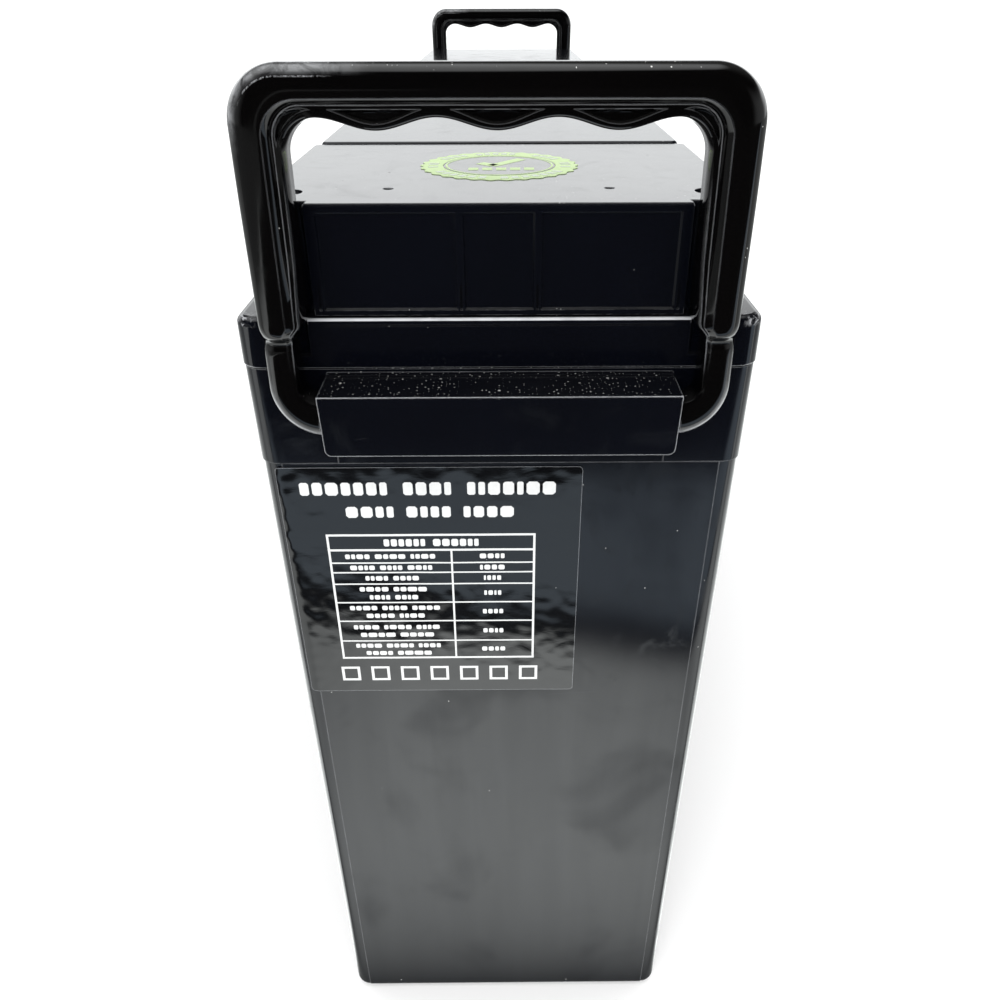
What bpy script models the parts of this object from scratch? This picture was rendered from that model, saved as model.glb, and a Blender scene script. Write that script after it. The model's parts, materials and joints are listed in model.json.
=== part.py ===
"""Slim front-terminal lithium iron phosphate battery pack, 12.8 V 200 Ah.

Frame: +Z up, origin at the centre of the footprint on the ground, X across the
narrow width, Y along the length. The terminal end is the front and faces -Y; left
is -X. Lengths are in millimetres and become metres when a mesh is written.
Objects named cut_* are hidden helpers for the boolean modifiers.
"""

import math

import bmesh
import bpy
from mathutils import Vector

# ---------------------------------------------------------------- shared dimensions
MM = 0.001
LENGTH = 560.0            # lid skirt, end to end
WIDTH = 125.0             # lid skirt, side to side
END = LENGTH / 2          # |y| of the skirt's end faces
HALF_WIDTH = WIDTH / 2
CORNER_R = 5.5            # upright corners
GAP = 0.3                 # clearance between parts that lie on one another

SKIRT_Z = 270.6           # lower edge of the lid's skirt
SHOULDER_Z = 282.7        # flat shoulder of the lid
DECK_Z = 308.6            # top of the long raised deck
COVER_Z = 308.1           # top of the terminal cover

RIM_HALF_X = 59.6         # case rim that the lid slips over
RIM_HALF_Y = 274.6
RIM_R = 3.6
SEAL_INSET = 2.0          # inner edge of the seal and of the lid's underside step
SEAL_INNER_R = 2.6

CHANNEL_IN, CHANNEL_OUT = 42.9, 55.2   # |x| of the recesses for the handle legs
LEG_SETBACK = 4.1         # deck and cover behind the handle legs, from the skirt face
PIVOT_OUT = 7.1           # handle pivot axis, outside the skirt face
PIVOT_Z = 261.7

SCREW_X, SCREW_Y = 48.9, -END + 13.8   # cover screws
POST_X, POST_Y = 25.9, -END + 17.5     # terminals

SIDES = (("left", -1), ("right", 1))
ENDS = (("front", -1), ("rear", 1))


# ---------------------------------------------------------------- mesh helpers
def clear_scene():
    for ob in list(bpy.data.objects):
        bpy.data.objects.remove(ob, do_unlink=True)


def loft_faces(count, size, closed):
    """Quads between `count` loops of `size` points; closed joins the last to the first."""
    faces = []
    for k in range(count if closed else count - 1):
        here, above = k * size, (k + 1) % count * size
        for i in range(size):
            j = (i + 1) % size
            faces.append((here + i, here + j, above + j, above + i))
    if not closed:
        faces.append(tuple(reversed(range(size))))
        faces.append(tuple((count - 1) * size + i for i in range(size)))
    return faces


def loft(name, loops, mat=None, closed=False, origin=(0, 0, 0), rot_x=0.0):
    """An object from equal-length loops. Without a material it is a hidden helper."""
    mesh = bpy.data.meshes.new(name)
    verts = [tuple(c * MM for c in point) for loop in loops for point in loop]
    mesh.from_pydata(verts, [], loft_faces(len(loops), len(loops[0]), closed))
    bm = bmesh.new()
    bm.from_mesh(mesh)
    bmesh.ops.recalc_face_normals(bm, faces=bm.faces)
    bm.to_mesh(mesh)
    bm.free()
    mesh.shade_smooth()
    mesh.set_sharp_from_angle(angle=math.radians(30))
    ob = bpy.data.objects.new(name, mesh)
    bpy.context.scene.collection.objects.link(ob)
    ob.location = Vector(origin) * MM
    ob.rotation_euler = (rot_x, 0.0, 0.0)
    if mat is None:
        ob.hide_render = True
        ob.display_type = "WIRE"
    else:
        mesh.materials.append(bpy.data.materials[mat])
    return ob


def boolean(body, tool, operation):
    modifier = body.modifiers.new(operation.lower() + "_" + tool.name, "BOOLEAN")
    modifier.operation = operation
    modifier.object = tool
    modifier.solver = "EXACT"


def join(body, tool):
    boolean(body, tool, "UNION")


def cut(body, tool):
    boolean(body, tool, "DIFFERENCE")


def around(centre, half):
    return centre - half, centre + half


def mirrored(sign, near, far):
    """The span from near to far on the positive or negative side of zero."""
    return sorted((sign * near, sign * far))


def round_rect(half_x, half_y, radius, z, steps=4, centre=(0.0, 0.0)):
    """A rounded rectangle loop, counter-clockwise seen from above."""
    points = []
    for sx, sy, start in ((1, 1, 0), (-1, 1, 90), (-1, -1, 180), (1, -1, 270)):
        for k in range(steps + 1):
            angle = math.radians(start + 90.0 * k / steps)
            points.append((centre[0] + sx * (half_x - radius) + radius * math.cos(angle),
                           centre[1] + sy * (half_y - radius) + radius * math.sin(angle), z))
    return points


def block(name, xs, ys, zs, mat=None, radius=0.0, steps=2, chamfer=0.0):
    """A box between spans, with optional rounded upright edges and chamfered rims."""
    (x0, x1), (y0, y1), (z0, z1) = xs, ys, zs
    if radius == 0:
        return loft(name, [[(x0, y0, z), (x1, y0, z), (x1, y1, z), (x0, y1, z)] for z in zs], mat)
    levels = [(0.0, z0), (0.0, z1)]
    if chamfer > 0:
        levels = [(chamfer, z0), (0.0, z0 + chamfer), (0.0, z1 - chamfer), (chamfer, z1)]
    centre = ((x0 + x1) / 2, (y0 + y1) / 2)
    half_x, half_y = (x1 - x0) / 2, (y1 - y0) / 2
    return loft(name, [round_rect(half_x - inset, half_y - inset, radius - inset, z, steps, centre)
                       for inset, z in levels], mat)


def circle(radius, sides, centre, axis="Z", shift=0.0):
    """A loop around an axis, shifted along it from the centre."""
    along = "XYZ".index(axis)
    points = []
    for k in range(sides):
        angle = 2 * math.pi * k / sides
        point = list(centre)
        point[along] += shift
        point[(along + 1) % 3] += radius * math.cos(angle)
        point[(along + 2) % 3] += radius * math.sin(angle)
        points.append(tuple(point))
    return points


def turned(name, profile, sides, centre, mat=None, axis="Z"):
    """A stack of circles: profile holds (offset along the axis, radius)."""
    return loft(name, [circle(radius, sides, centre, axis, offset) for offset, radius in profile],
                mat)


def rod(name, start, end, radius, sides, centre, mat=None, axis="Z"):
    return turned(name, [(start, radius), (end, radius)], sides, centre, mat, axis)


def plate_with_holes(name, xs, ys, zs, holes, mat, radius):
    """A rounded plate; holes are (x, y, radius)."""
    plate = block(name, xs, ys, zs, mat, radius)
    for k, (x, y, hole_r) in enumerate(holes):
        cut(plate, rod(f"cut_{name}_{k}", -5, zs[1] - zs[0] + 5, hole_r, 16, (x, y, zs[0])))
    return plate


# ---------------------------------------------------------------- materials
def material(name, color, roughness, metallic=0.0):
    mat = bpy.data.materials.new(name)
    mat.use_nodes = True
    inputs = mat.node_tree.nodes["Principled BSDF"].inputs
    inputs["Base Color"].default_value = (*color, 1.0)
    inputs["Roughness"].default_value = roughness
    inputs["Metallic"].default_value = metallic


def make_materials():
    # outside
    material("black_abs_gloss", color=(0.012, 0.013, 0.015), roughness=0.16)
    material("black_abs_satin", color=(0.016, 0.017, 0.018), roughness=0.3)
    material("black_pp_gloss", color=(0.01, 0.01, 0.011), roughness=0.14)
    material("label_film", color=(0.015, 0.015, 0.015), roughness=0.08)
    material("lime_sticker", color=(0.62, 0.85, 0.32), roughness=0.35)
    # metals
    material("zinc_steel", color=(0.55, 0.55, 0.56), roughness=0.35, metallic=1.0)
    material("tinned_brass", color=(0.75, 0.62, 0.32), roughness=0.3, metallic=1.0)
    material("nickelled_copper", color=(0.72, 0.45, 0.3), roughness=0.3, metallic=1.0)
    material("aluminium", color=(0.75, 0.76, 0.78), roughness=0.35, metallic=1.0)
    # inside
    material("blue_cell_wrap", color=(0.03, 0.14, 0.42), roughness=0.35)
    material("epoxy_board", color=(0.42, 0.5, 0.2), roughness=0.5)
    material("eva_foam", color=(0.05, 0.05, 0.055), roughness=0.9)
    material("green_pcb", color=(0.02, 0.18, 0.08), roughness=0.4)
    material("black_part", color=(0.02, 0.02, 0.02), roughness=0.5)
    material("white_nylon", color=(0.8, 0.8, 0.76), roughness=0.5)
    material("red_silicone", color=(0.6, 0.03, 0.02), roughness=0.45)
    material("black_silicone", color=(0.02, 0.02, 0.02), roughness=0.45)
    material("gasket_rubber", color=(0.03, 0.03, 0.03), roughness=0.8)
    material("pet_band", color=(0.1, 0.28, 0.12), roughness=0.4)


# ---------------------------------------------------------------- case
CASE_TOP = (62.3, 279.6)  # half width and half length just under the lid
CASE_FOOT = (60.9, 278.1)              # the same at the foot (mould draft)
COLLAR_Z = 244.3          # witness step around the case
COLLAR_STEP = 0.3
WALL = 3.0
END_WALL_EXTRA = 2.2      # added to the wall at both ends, inside
FLOOR = 4.0
INNER_R = 2.5
INNER_TOP_Z = 240.0       # the inside starts to close towards the mouth
RIM_Z = 278.0
RIM_WALL = 2.3
MOUTH_Z, MOUTH_R = 262.0, 2.4

BOX_HALF_X = 41.7         # hinge box on each end wall
BOX_OUT = 14.35
BOX_Z0, BOX_Z1 = 254.1, 269.3
BOX_EMBED = 1.6           # depth the box reaches into the wall
BOX_WALL = 2.6
POCKET_HALF_X = 39.0
PIN_HOLE_R = 4.05
HINGE_BOX_PROFILE = (     # z, half width, reach beyond the skirt face
    (BOX_Z0, BOX_HALF_X - 1.5, BOX_OUT - 1.0),
    (BOX_Z0 + 0.6, BOX_HALF_X - 0.7, BOX_OUT - 0.4),
    (BOX_Z0 + 1.6, BOX_HALF_X - 0.35, BOX_OUT - 0.2),
    (BOX_Z1 - 0.4, BOX_HALF_X, BOX_OUT),
    (BOX_Z1, BOX_HALF_X - 0.3, BOX_OUT - 0.3),
)


def case_half(z):
    """Half width and half length of the drafted case at height z."""
    t = (SKIRT_Z - z) / SKIRT_Z
    return [top - (top - foot) * t for top, foot in zip(CASE_TOP, CASE_FOOT)]


def case_loop(draft_z, inset_x, inset_y, radius, z):
    """A loop at z, inset from the case's size at draft_z."""
    half_x, half_y = case_half(draft_z)
    return round_rect(half_x - inset_x, half_y - inset_y, radius, z)


def rim_loop(offset, radius, z):
    """A loop parallel to the case rim; a negative offset lies inside it."""
    return round_rect(RIM_HALF_X + offset, RIM_HALF_Y + offset, radius, z)


def make_case():
    """One open shell: up the outside, over the rim and down the inside to the floor."""
    step = COLLAR_STEP
    inset_x, inset_y = WALL + step, WALL + END_WALL_EXTRA
    case = loft("case", [
        case_loop(0, step + 2.2, step + 2.2, 4.0, 0.0),
        case_loop(1, step + 0.6, step + 0.6, 5.0, 0.7),
        case_loop(2.5, step, step, CORNER_R, 2.5),
        case_loop(COLLAR_Z, step, step, CORNER_R, COLLAR_Z - 0.3),
        case_loop(COLLAR_Z, 0, 0, CORNER_R, COLLAR_Z),
        case_loop(SKIRT_Z, 0, 0, CORNER_R, SKIRT_Z - GAP),
        rim_loop(0, RIM_R, SKIRT_Z - GAP),
        rim_loop(0, RIM_R, RIM_Z),
        rim_loop(-RIM_WALL, MOUTH_R, RIM_Z),
        rim_loop(-RIM_WALL, MOUTH_R, MOUTH_Z),
        case_loop(INNER_TOP_Z, inset_x, inset_y, INNER_R, INNER_TOP_Z),
        case_loop(FLOOR, inset_x, inset_y, INNER_R, FLOOR),
    ], "black_abs_satin")
    for tag, sign in ENDS:
        add_hinge_box(case, tag, sign)


def add_hinge_box(case, tag, sign):
    """A box open below, narrowing towards its lower edge, with a pin hole at each side."""
    loops = []
    wall_y = sign * (END - BOX_EMBED)
    for z, half_x, reach in HINGE_BOX_PROFILE:
        out_y = sign * (END + reach)
        loop = [(-half_x, wall_y, z), (half_x, wall_y, z), (half_x, out_y, z), (-half_x, out_y, z)]
        loops.append(loop if sign > 0 else loop[::-1])
    join(case, loft(f"cut_{tag}_box", loops))
    cut(case, block(f"cut_{tag}_pocket", around(0, POCKET_HALF_X),
                    mirrored(sign, END + 0.9, END + BOX_OUT - BOX_WALL),
                    (BOX_Z0 - 3, BOX_Z1 - BOX_WALL)))
    for side, sx in SIDES:
        cut(case, rod(f"cut_{tag}_pin_{side}", -5.0, 5.0, PIN_HOLE_R, 24,
                      (sx * 41.0, sign * (END + PIVOT_OUT), PIVOT_Z), axis="X"))


# ---------------------------------------------------------------- lid
LID_UNDER_Z = 279.4       # underside of the lid over the case rim
RIM_CLEARANCE = 0.3       # between the rim and the inside of the skirt
DECK_HALF_X = 54.2        # deck behind the cover
DECK_Y0, DECK_Y1 = -END + 85.0, END - 1.5
DECK_PROFILE = (          # inset, corner radius, z
    (0.0, 2.2, 280.2),
    (0.0, 2.2, DECK_Z - 1.2),
    (0.35, 2.0, DECK_Z - 0.35),
    (1.1, 1.6, DECK_Z),
)
DECK_WALL = 2.6           # sides and top
DECK_FRONT_WALL, DECK_REAR_WALL = 2.8, 4.6
SKIRT_RECESS = 1.9        # depth of the leg recesses in the skirt
BOSS_Z, BOSS_HEIGHT = 281.0, 21.9
POST_HOLE_R = 6.4
PILOT_R = 1.9


def make_lid():
    """Skirted base plate, with the hollow deck standing on it."""
    lid = loft("lid", [
        rim_loop(-SEAL_INSET, SEAL_INNER_R, LID_UNDER_Z),
        rim_loop(RIM_CLEARANCE, RIM_R + RIM_CLEARANCE, LID_UNDER_Z),
        rim_loop(RIM_CLEARANCE, RIM_R + RIM_CLEARANCE, SKIRT_Z),
        round_rect(HALF_WIDTH, END, CORNER_R, SKIRT_Z),
        round_rect(HALF_WIDTH - 0.1, END, CORNER_R, SHOULDER_Z - 1.7),
        round_rect(HALF_WIDTH - 0.5, END - 0.5, CORNER_R, SHOULDER_Z - 0.4),
        round_rect(HALF_WIDTH - 1.6, END - 1.2, CORNER_R - 0.5, SHOULDER_Z),
    ], "black_abs_gloss")
    add_deck(lid)
    for tag, sign in ENDS:
        for side, sx in SIDES:
            cut_leg_recess(lid, tag, sign, side, sx)
    for side, sx in SIDES:
        cut(lid, rod(f"cut_post_{side}", -6, 6, POST_HOLE_R, 20, (sx * POST_X, POST_Y, 281.0)))
        # a boss with a pilot hole for the cover's screw
        screw_x = sx * SCREW_X
        join(lid, turned(f"cut_boss_{side}", [(0, 3.8), (BOSS_HEIGHT, 3.6)], 16,
                         (screw_x, SCREW_Y, BOSS_Z)))
        cut(lid, rod(f"cut_pilot_{side}", 0, 30, PILOT_R, 12, (screw_x, SCREW_Y, BOSS_Z + 3)))


def add_deck(lid):
    centre = (0, (DECK_Y0 + DECK_Y1) / 2)
    half_y = (DECK_Y1 - DECK_Y0) / 2
    join(lid, loft("cut_deck", [
        round_rect(DECK_HALF_X - inset, half_y - inset, radius, z, 3, centre)
        for inset, radius, z in DECK_PROFILE]))
    cut(lid, block("cut_deck_hollow", around(0, DECK_HALF_X - DECK_WALL),
                   (DECK_Y0 + DECK_FRONT_WALL, DECK_Y1 - DECK_REAR_WALL),
                   (270, DECK_Z - DECK_WALL), radius=1.5))


def cut_leg_recess(lid, tag, sign, side, sx):
    """Room for an upright handle leg to lean in; at the rear the deck steps back too."""
    cut(lid, block(f"cut_skirt_{tag}_{side}", mirrored(sx, CHANNEL_IN, CHANNEL_OUT),
                   mirrored(sign, END - SKIRT_RECESS, END + 4), (SKIRT_Z + 3.0, 284.0)))
    if sign > 0:
        cut(lid, block(f"cut_deck_{tag}_{side}", mirrored(sx, CHANNEL_IN, 58.0),
                       mirrored(sign, END - LEG_SETBACK, END + 4), (SHOULDER_Z, 312.0)))


# ---------------------------------------------------------------- terminal cover
COVER_HALF_X = 55.7       # the cover stands slightly wider than the deck
COVER_FRONT = -END + 1.5
COVER_REAR = -END + 84.3
COVER_WALL, COVER_ROOF = 2.4, 2.5
SLOT_XS = (-41.1, -8.8, 8.8, 41.1)
SLOT_HALF_X, SLOT_DEPTH = 0.9, 1.3
PROBE_R = 1.1             # small hole over each terminal
SINK_PROFILE = ((0, 2.3), (2.9, 2.3), (3.0, 3.75), (8, 3.75))
ROOF_CUT_Z = COVER_Z - 4.5             # start of the holes through the roof

SCREW_HEAD_R, SCREW_HEAD = 3.3, 1.0
SCREW_R, SCREW_LENGTH = 1.6, 16.0
CROSS_LONG, CROSS_SHORT = SCREW_HEAD_R * 0.55, 0.35    # half sizes of the cross recess
CROSS_DEPTH = 0.9


def cover_loop(inset, z):
    """Plan outline of the cover; the front corners step back for the handle legs."""
    front = COVER_FRONT + inset
    step = -END + LEG_SETBACK + inset
    rear = COVER_REAR - inset
    inner, outer = CHANNEL_IN - inset, COVER_HALF_X - inset
    return [(-inner, front, z), (inner, front, z), (inner, step, z), (outer, step, z),
            (outer, rear, z), (-outer, rear, z), (-outer, step, z), (-inner, step, z)]


def make_cover():
    cover = loft("terminal_cover", [cover_loop(0.0, SHOULDER_Z + GAP),
                                    cover_loop(0.0, COVER_Z - 0.7),
                                    cover_loop(0.6, COVER_Z)], "black_abs_gloss")
    cut(cover, loft("cut_cover_inner", [cover_loop(COVER_WALL, 276.0),
                                        cover_loop(COVER_WALL, COVER_Z - COVER_ROOF)]))
    # four upright slots, cut part way into the front wall from outside
    for k, x in enumerate(SLOT_XS):
        cut(cover, block(f"cut_slot_{k}", around(x, SLOT_HALF_X),
                         (COVER_FRONT - 1.0, COVER_FRONT + SLOT_DEPTH),
                         (SHOULDER_Z + 1.6, COVER_Z - 2.4)))
    for side, sx in SIDES:
        cut(cover, rod(f"cut_probe_{side}", 0, 8, PROBE_R, 12,
                       (sx * POST_X, POST_Y, ROOF_CUT_Z)))
        cut(cover, turned(f"cut_sink_{side}", SINK_PROFILE, 20,
                          (sx * SCREW_X, SCREW_Y, ROOF_CUT_Z)))


def make_cover_screw(side, sx):
    """Pan head screw with a cross recess; z is the underside of the head."""
    name = f"cover_screw_{side}"
    x, y, z = sx * SCREW_X, SCREW_Y, COVER_Z - 1.4
    profile = [(-SCREW_LENGTH, SCREW_R * 0.5), (-SCREW_LENGTH + 1, SCREW_R), (0, SCREW_R),
               (0.001, SCREW_HEAD_R), (SCREW_HEAD * 0.5, SCREW_HEAD_R),
               (SCREW_HEAD, SCREW_HEAD_R * 0.72)]
    screw = turned(name, profile, 20, (x, y, z), "zinc_steel")
    top = z + SCREW_HEAD
    for k, (half_x, half_y) in enumerate(((CROSS_LONG, CROSS_SHORT), (CROSS_SHORT, CROSS_LONG))):
        cut(screw, block(f"cut_{name}_{k}", around(x, half_x), around(y, half_y),
                         (top - CROSS_DEPTH, top + 1)))


# ---------------------------------------------------------------- handles
# Sizes are in the handle's own plane: x across, z up from the pivot axis.
LEAN_DEG = 3.4            # handle leans in over the lid at rest
HANDLE_HALF_X, HANDLE_TOP = 54.0, 74.8
OUTER_R = 11.0            # top corner, outer edge
OUTER_CENTRE = (HANDLE_HALF_X - OUTER_R, HANDLE_TOP - OUTER_R)
FRAME_CENTRE, FRAME_R = (39.2, 61.2), 6.2
GRIP_CENTRE, GRIP_RADII = (35.4, 55.8), (8.8, 8.0)     # top corner, inner edge
HALF_DEPTH = 6.75
BAR_CROWN, LEG_CROWN = 2.7, 4.3        # width of the crowned outer band
WEB_BEVEL, ARM_BEVEL = 1.2, 0.7
WAVE_MID, WAVE_HEIGHT, WAVE_PITCH = 62.9, 1.2, 24.2    # finger bumps
BAR_STEPS, CORNER_STEPS, ARM_STEPS = 12, 8, 6

LEG_TOP_Z, LEG_LOW_Z = 44.0, 23.0
LEG_ZS = (LEG_TOP_Z, 32.0, LEG_LOW_Z)
LEG_TAPER = 0.3
LEG_FRAME_X, LEG_INNER_X = 45.4, 44.2
NECK_STATIONS = (         # z, outer x, inner x, half depth, crown
    (21.2, 53.8, 44.5, 6.5, 4.2),
    (19.6, 53.1, 45.4, 5.2, 3.6),
    (18.2, 52.9, 46.0, 4.3, 2.6),
    (17.0, 53.1, 46.2, 4.5, 2.6),
    (12.0, 53.2, 46.2, 4.5, 2.6),
    (8.0, 53.2, 46.2, 4.5, 2.6),
)
ARM_END_X = 42.1
ARM_OUTER_CENTRE, ARM_OUTER_R, ARM_OUTER_TURN = (40.7, 8.0), 12.5, 82.2
ARM_INNER_CENTRE, ARM_INNER_R = (ARM_END_X, 8.3), 4.1
ARM_HALF_DEPTH, ARM_CROWN = 4.5, 2.0
PIN_R = 3.7


def arc_point(centre, radius_x, radius_z, angle):
    return (centre[0] + radius_x * math.cos(angle), centre[1] + radius_z * math.sin(angle))


def handle_stations():
    """Right half of the handle, from mid-bar to the arm's end. Each station holds the
    in-plane points outer, frame edge and inner, then half depth, crown and bevel."""
    stations = []
    for k in range(BAR_STEPS):                           # top bar with finger bumps
        t = k / BAR_STEPS
        inner_x = GRIP_CENTRE[0] * t
        wave = WAVE_MID - WAVE_HEIGHT * math.cos(2 * math.pi * inner_x / WAVE_PITCH)
        stations.append(((OUTER_CENTRE[0] * t, HANDLE_TOP),
                         (FRAME_CENTRE[0] * t, FRAME_CENTRE[1] + FRAME_R),
                         (inner_x, wave), HALF_DEPTH, BAR_CROWN, WEB_BEVEL))
    for k in range(CORNER_STEPS + 1):                    # top corner
        t = k / CORNER_STEPS
        angle = math.radians(90 - 90 * t)
        stations.append((arc_point(OUTER_CENTRE, OUTER_R, OUTER_R, angle),
                         arc_point(FRAME_CENTRE, FRAME_R, FRAME_R, angle),
                         arc_point(GRIP_CENTRE, *GRIP_RADII, angle),
                         HALF_DEPTH, BAR_CROWN + (LEG_CROWN - BAR_CROWN) * t, WEB_BEVEL))
    for z in LEG_ZS:
        taper = LEG_TAPER * (LEG_TOP_Z - z) / (LEG_TOP_Z - LEG_LOW_Z)
        stations.append(((HANDLE_HALF_X - taper, z), (LEG_FRAME_X, z), (LEG_INNER_X, z),
                         HALF_DEPTH, LEG_CROWN, WEB_BEVEL))
    for z, outer_x, inner_x, depth, crown in NECK_STATIONS:
        stations.append(((outer_x, z), (inner_x + ARM_BEVEL, z), (inner_x, z),
                         depth, crown, ARM_BEVEL))
    for k in range(1, ARM_STEPS + 1):                    # the arm turns in to the hinge box
        outer_angle = math.radians(-ARM_OUTER_TURN * k / ARM_STEPS)
        angle = math.radians(-90.0 * k / ARM_STEPS)
        outer = arc_point(ARM_OUTER_CENTRE, ARM_OUTER_R, ARM_OUTER_R, outer_angle)
        if k == ARM_STEPS:                               # square end face
            outer = (ARM_END_X, outer[1])
        frame_r = ARM_INNER_R + ARM_BEVEL
        stations.append((outer, arc_point(ARM_INNER_CENTRE, frame_r, frame_r, angle),
                         arc_point(ARM_INNER_CENTRE, ARM_INNER_R, ARM_INNER_R, angle),
                         ARM_HALF_DEPTH, ARM_CROWN, ARM_BEVEL))
    return stations


def handle_loop(station, sx):
    """The cross-section at a station, on the right (sx 1) or left (sx -1) half."""
    outer, frame, inner, depth, crown, bevel = station

    def at(point, y):
        return (sx * point[0], y, point[1])

    def between(start, end, t):
        return (start[0] + (end[0] - start[0]) * t, start[1] + (end[1] - start[1]) * t)

    band = crown / math.dist(outer, frame)
    arris = between(outer, frame, band)
    shoulder = between(outer, frame, 0.32 * band)
    # kept just short of the inner edge, so the two points stay apart
    web = between(frame, inner, bevel / math.dist(frame, inner) * 0.999)
    front = [at(outer, 0), at(shoulder, -0.55 * depth), at(arris, -depth), at(frame, -depth),
             at(web, -depth + bevel), at(inner, -depth + bevel + 0.6)]
    return front + [(x, -y, z) for x, y, z in reversed(front[1:])]


def make_handle(name, sign):
    half = handle_stations()
    loops = [handle_loop(s, -1) for s in reversed(half)] + [handle_loop(s, 1) for s in half[1:]]
    if sign > 0:
        loops = [[(-x, -y, z) for x, y, z in loop] for loop in loops]
    handle = loft(name, loops, "black_pp_gloss", origin=(0, sign * (END + PIVOT_OUT), PIVOT_Z),
                  rot_x=sign * math.radians(LEAN_DEG))
    # pivot pins point inwards from the arm ends
    for side, sx in SIDES:
        pin = turned(f"cut_{name}_pin_{side}",
                     [(-4.6 * sx, PIN_R - 0.5), (-4.0 * sx, PIN_R), (1.2 * sx, PIN_R)], 24,
                     (sx * ARM_END_X, 0, 0), axis="X")
        pin.parent = handle
        join(handle, pin)


# ---------------------------------------------------------------- hardware
LUG_THICK = 2.0
BARREL_R, BORE_R = 4.6, 3.9            # the barrel rests on the palm's lower plane


def hex_bolt(name, centre, shank_r, length, flats, head):
    """Hex head bolt, shank down; centre is the underside of the head."""
    sides = 12
    corner_r = flats / math.sqrt(3)
    x, y, z = centre

    def hexagon(scale, shift):
        points = []
        for k in range(sides):
            angle = 2 * math.pi * k / sides
            radius = scale * (corner_r if k % 2 == 0 else corner_r * math.cos(math.pi / 6))
            points.append((x + radius * math.cos(angle), y + radius * math.sin(angle), z + shift))
        return points

    washer_r, washer_face = flats * 0.56, 0.7
    loops = [circle(radius, sides, centre, shift=shift) for radius, shift in (
        (shank_r * 0.7, -length), (shank_r, -length + 0.8), (shank_r, 0),
        (washer_r, 0), (washer_r, washer_face))]
    loops += [hexagon(1.0, washer_face), hexagon(1.0, head - 0.5), hexagon(0.9, head)]
    loft(name, loops, "zinc_steel")


def make_lug(name, x, y, z, direction, reach, hole_r):
    """Flat palm with a hole and a crimp barrel along y; direction is the barrel's side."""
    lug = plate_with_holes(name, around(x, 7.5), around(y, 8.5), (z, z + LUG_THICK),
                           [(x, y, hole_r)], "aluminium", radius=3.0)
    axis_point = (x, y, z + BARREL_R)
    join(lug, rod(f"cut_{name}_barrel", direction * 7.0, direction * reach, BARREL_R, 16,
                  axis_point, axis="Y"))
    cut(lug, rod(f"cut_{name}_bore", direction * 10.0, direction * (reach + 4), BORE_R, 16,
                 axis_point, axis="Y"))


def smooth_path(points, steps=5):
    """Catmull-Rom curve through the points."""
    points = [Vector(p) for p in points]
    last = len(points) - 1
    path = []
    for k in range(last):
        p0, p1, p2, p3 = (points[i] for i in (max(k - 1, 0), k, k + 1, min(k + 2, last)))
        for j in range(steps):
            t = j / steps
            path.append(0.5 * ((2 * p1) + (p2 - p0) * t + (2 * p0 - 5 * p1 + 4 * p2 - p3) * t * t
                               + (3 * p1 - p0 - 3 * p2 + p3) * t ** 3))
    path.append(points[-1])
    return path


def tube(name, points, radius, mat, sides=8):
    """A cable: a circle carried along a smoothed path."""
    path = smooth_path(points)
    across = Vector((1, 0.2, 0.1)).normalized()
    loops = []
    for k, point in enumerate(path):
        ahead, behind = path[min(k + 1, len(path) - 1)], path[max(k - 1, 0)]
        tangent = (ahead - behind).normalized()
        # carrying the last direction on keeps the circle from twisting
        across = (across - tangent * across.dot(tangent)).normalized()
        other = tangent.cross(across)
        loop = []
        for j in range(sides):
            angle = 2 * math.pi * j / sides
            loop.append(tuple(point + (across * math.cos(angle) + other * math.sin(angle))
                              * radius))
        loops.append(loop)
    loft(name, loops, mat)


# ---------------------------------------------------------------- cells and busbars
PACK_Y = 30.0             # centre of the cell block
CELL_T, CELL_W, CELL_H = 53.5, 173.7, 203.0            # along x, y and z
CELL_GAP = 0.9            # from the block's centre planes to each cell
CELL_Z0 = 7.9
CELL_TOP = CELL_Z0 + CELL_H
PACK_HALF_Y = CELL_W + CELL_GAP
CELL_PLACES = {1: (-1, -1), 2: (-1, 1), 3: (1, 1), 4: (1, -1)}     # side in x and in y
CELL_POST_INSET = 26.0    # from the cell's narrow faces
CELL_POST_PROFILE = ((0.3, 10.5), (1.2, 10.5), (1.2, 8.0), (3.6, 8.0), (3.9, 7.6))

BUSBAR_Z = CELL_TOP + 4.2
BUSBAR_TOP = BUSBAR_Z + 2.0
BUSBAR_HALF = 10.0        # half width, and overhang past the post centres
TAB_REACH = 34.0          # output tab, in front of its post
TAB_HOLE = 26.0


def make_cells():
    """Four cells in two rows; returns post centres by cell number and polarity."""
    posts = {}
    for number, (sx, sy) in CELL_PLACES.items():
        x0, x1 = mirrored(sx, CELL_GAP, CELL_GAP + CELL_T)
        y0, y1 = (PACK_Y + y for y in mirrored(sy, CELL_GAP, CELL_GAP + CELL_W))
        block(f"cell_{number}", (x0, x1), (y0, y1), (CELL_Z0, CELL_TOP), "blue_cell_wrap",
              radius=3.0, steps=3, chamfer=0.8)
        x = (x0 + x1) / 2
        # the positive post is at the front in the left row, at the back in the right row
        polarities = ("positive", "negative") if sx < 0 else ("negative", "positive")
        for polarity, y in zip(polarities, (y0 + CELL_POST_INSET, y1 - CELL_POST_INSET)):
            turned(f"cell_{number}_{polarity}_post", CELL_POST_PROFILE, 20, (x, y, CELL_TOP),
                   "aluminium")
            posts[(number, polarity)] = (x, y)
    return posts


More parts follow.
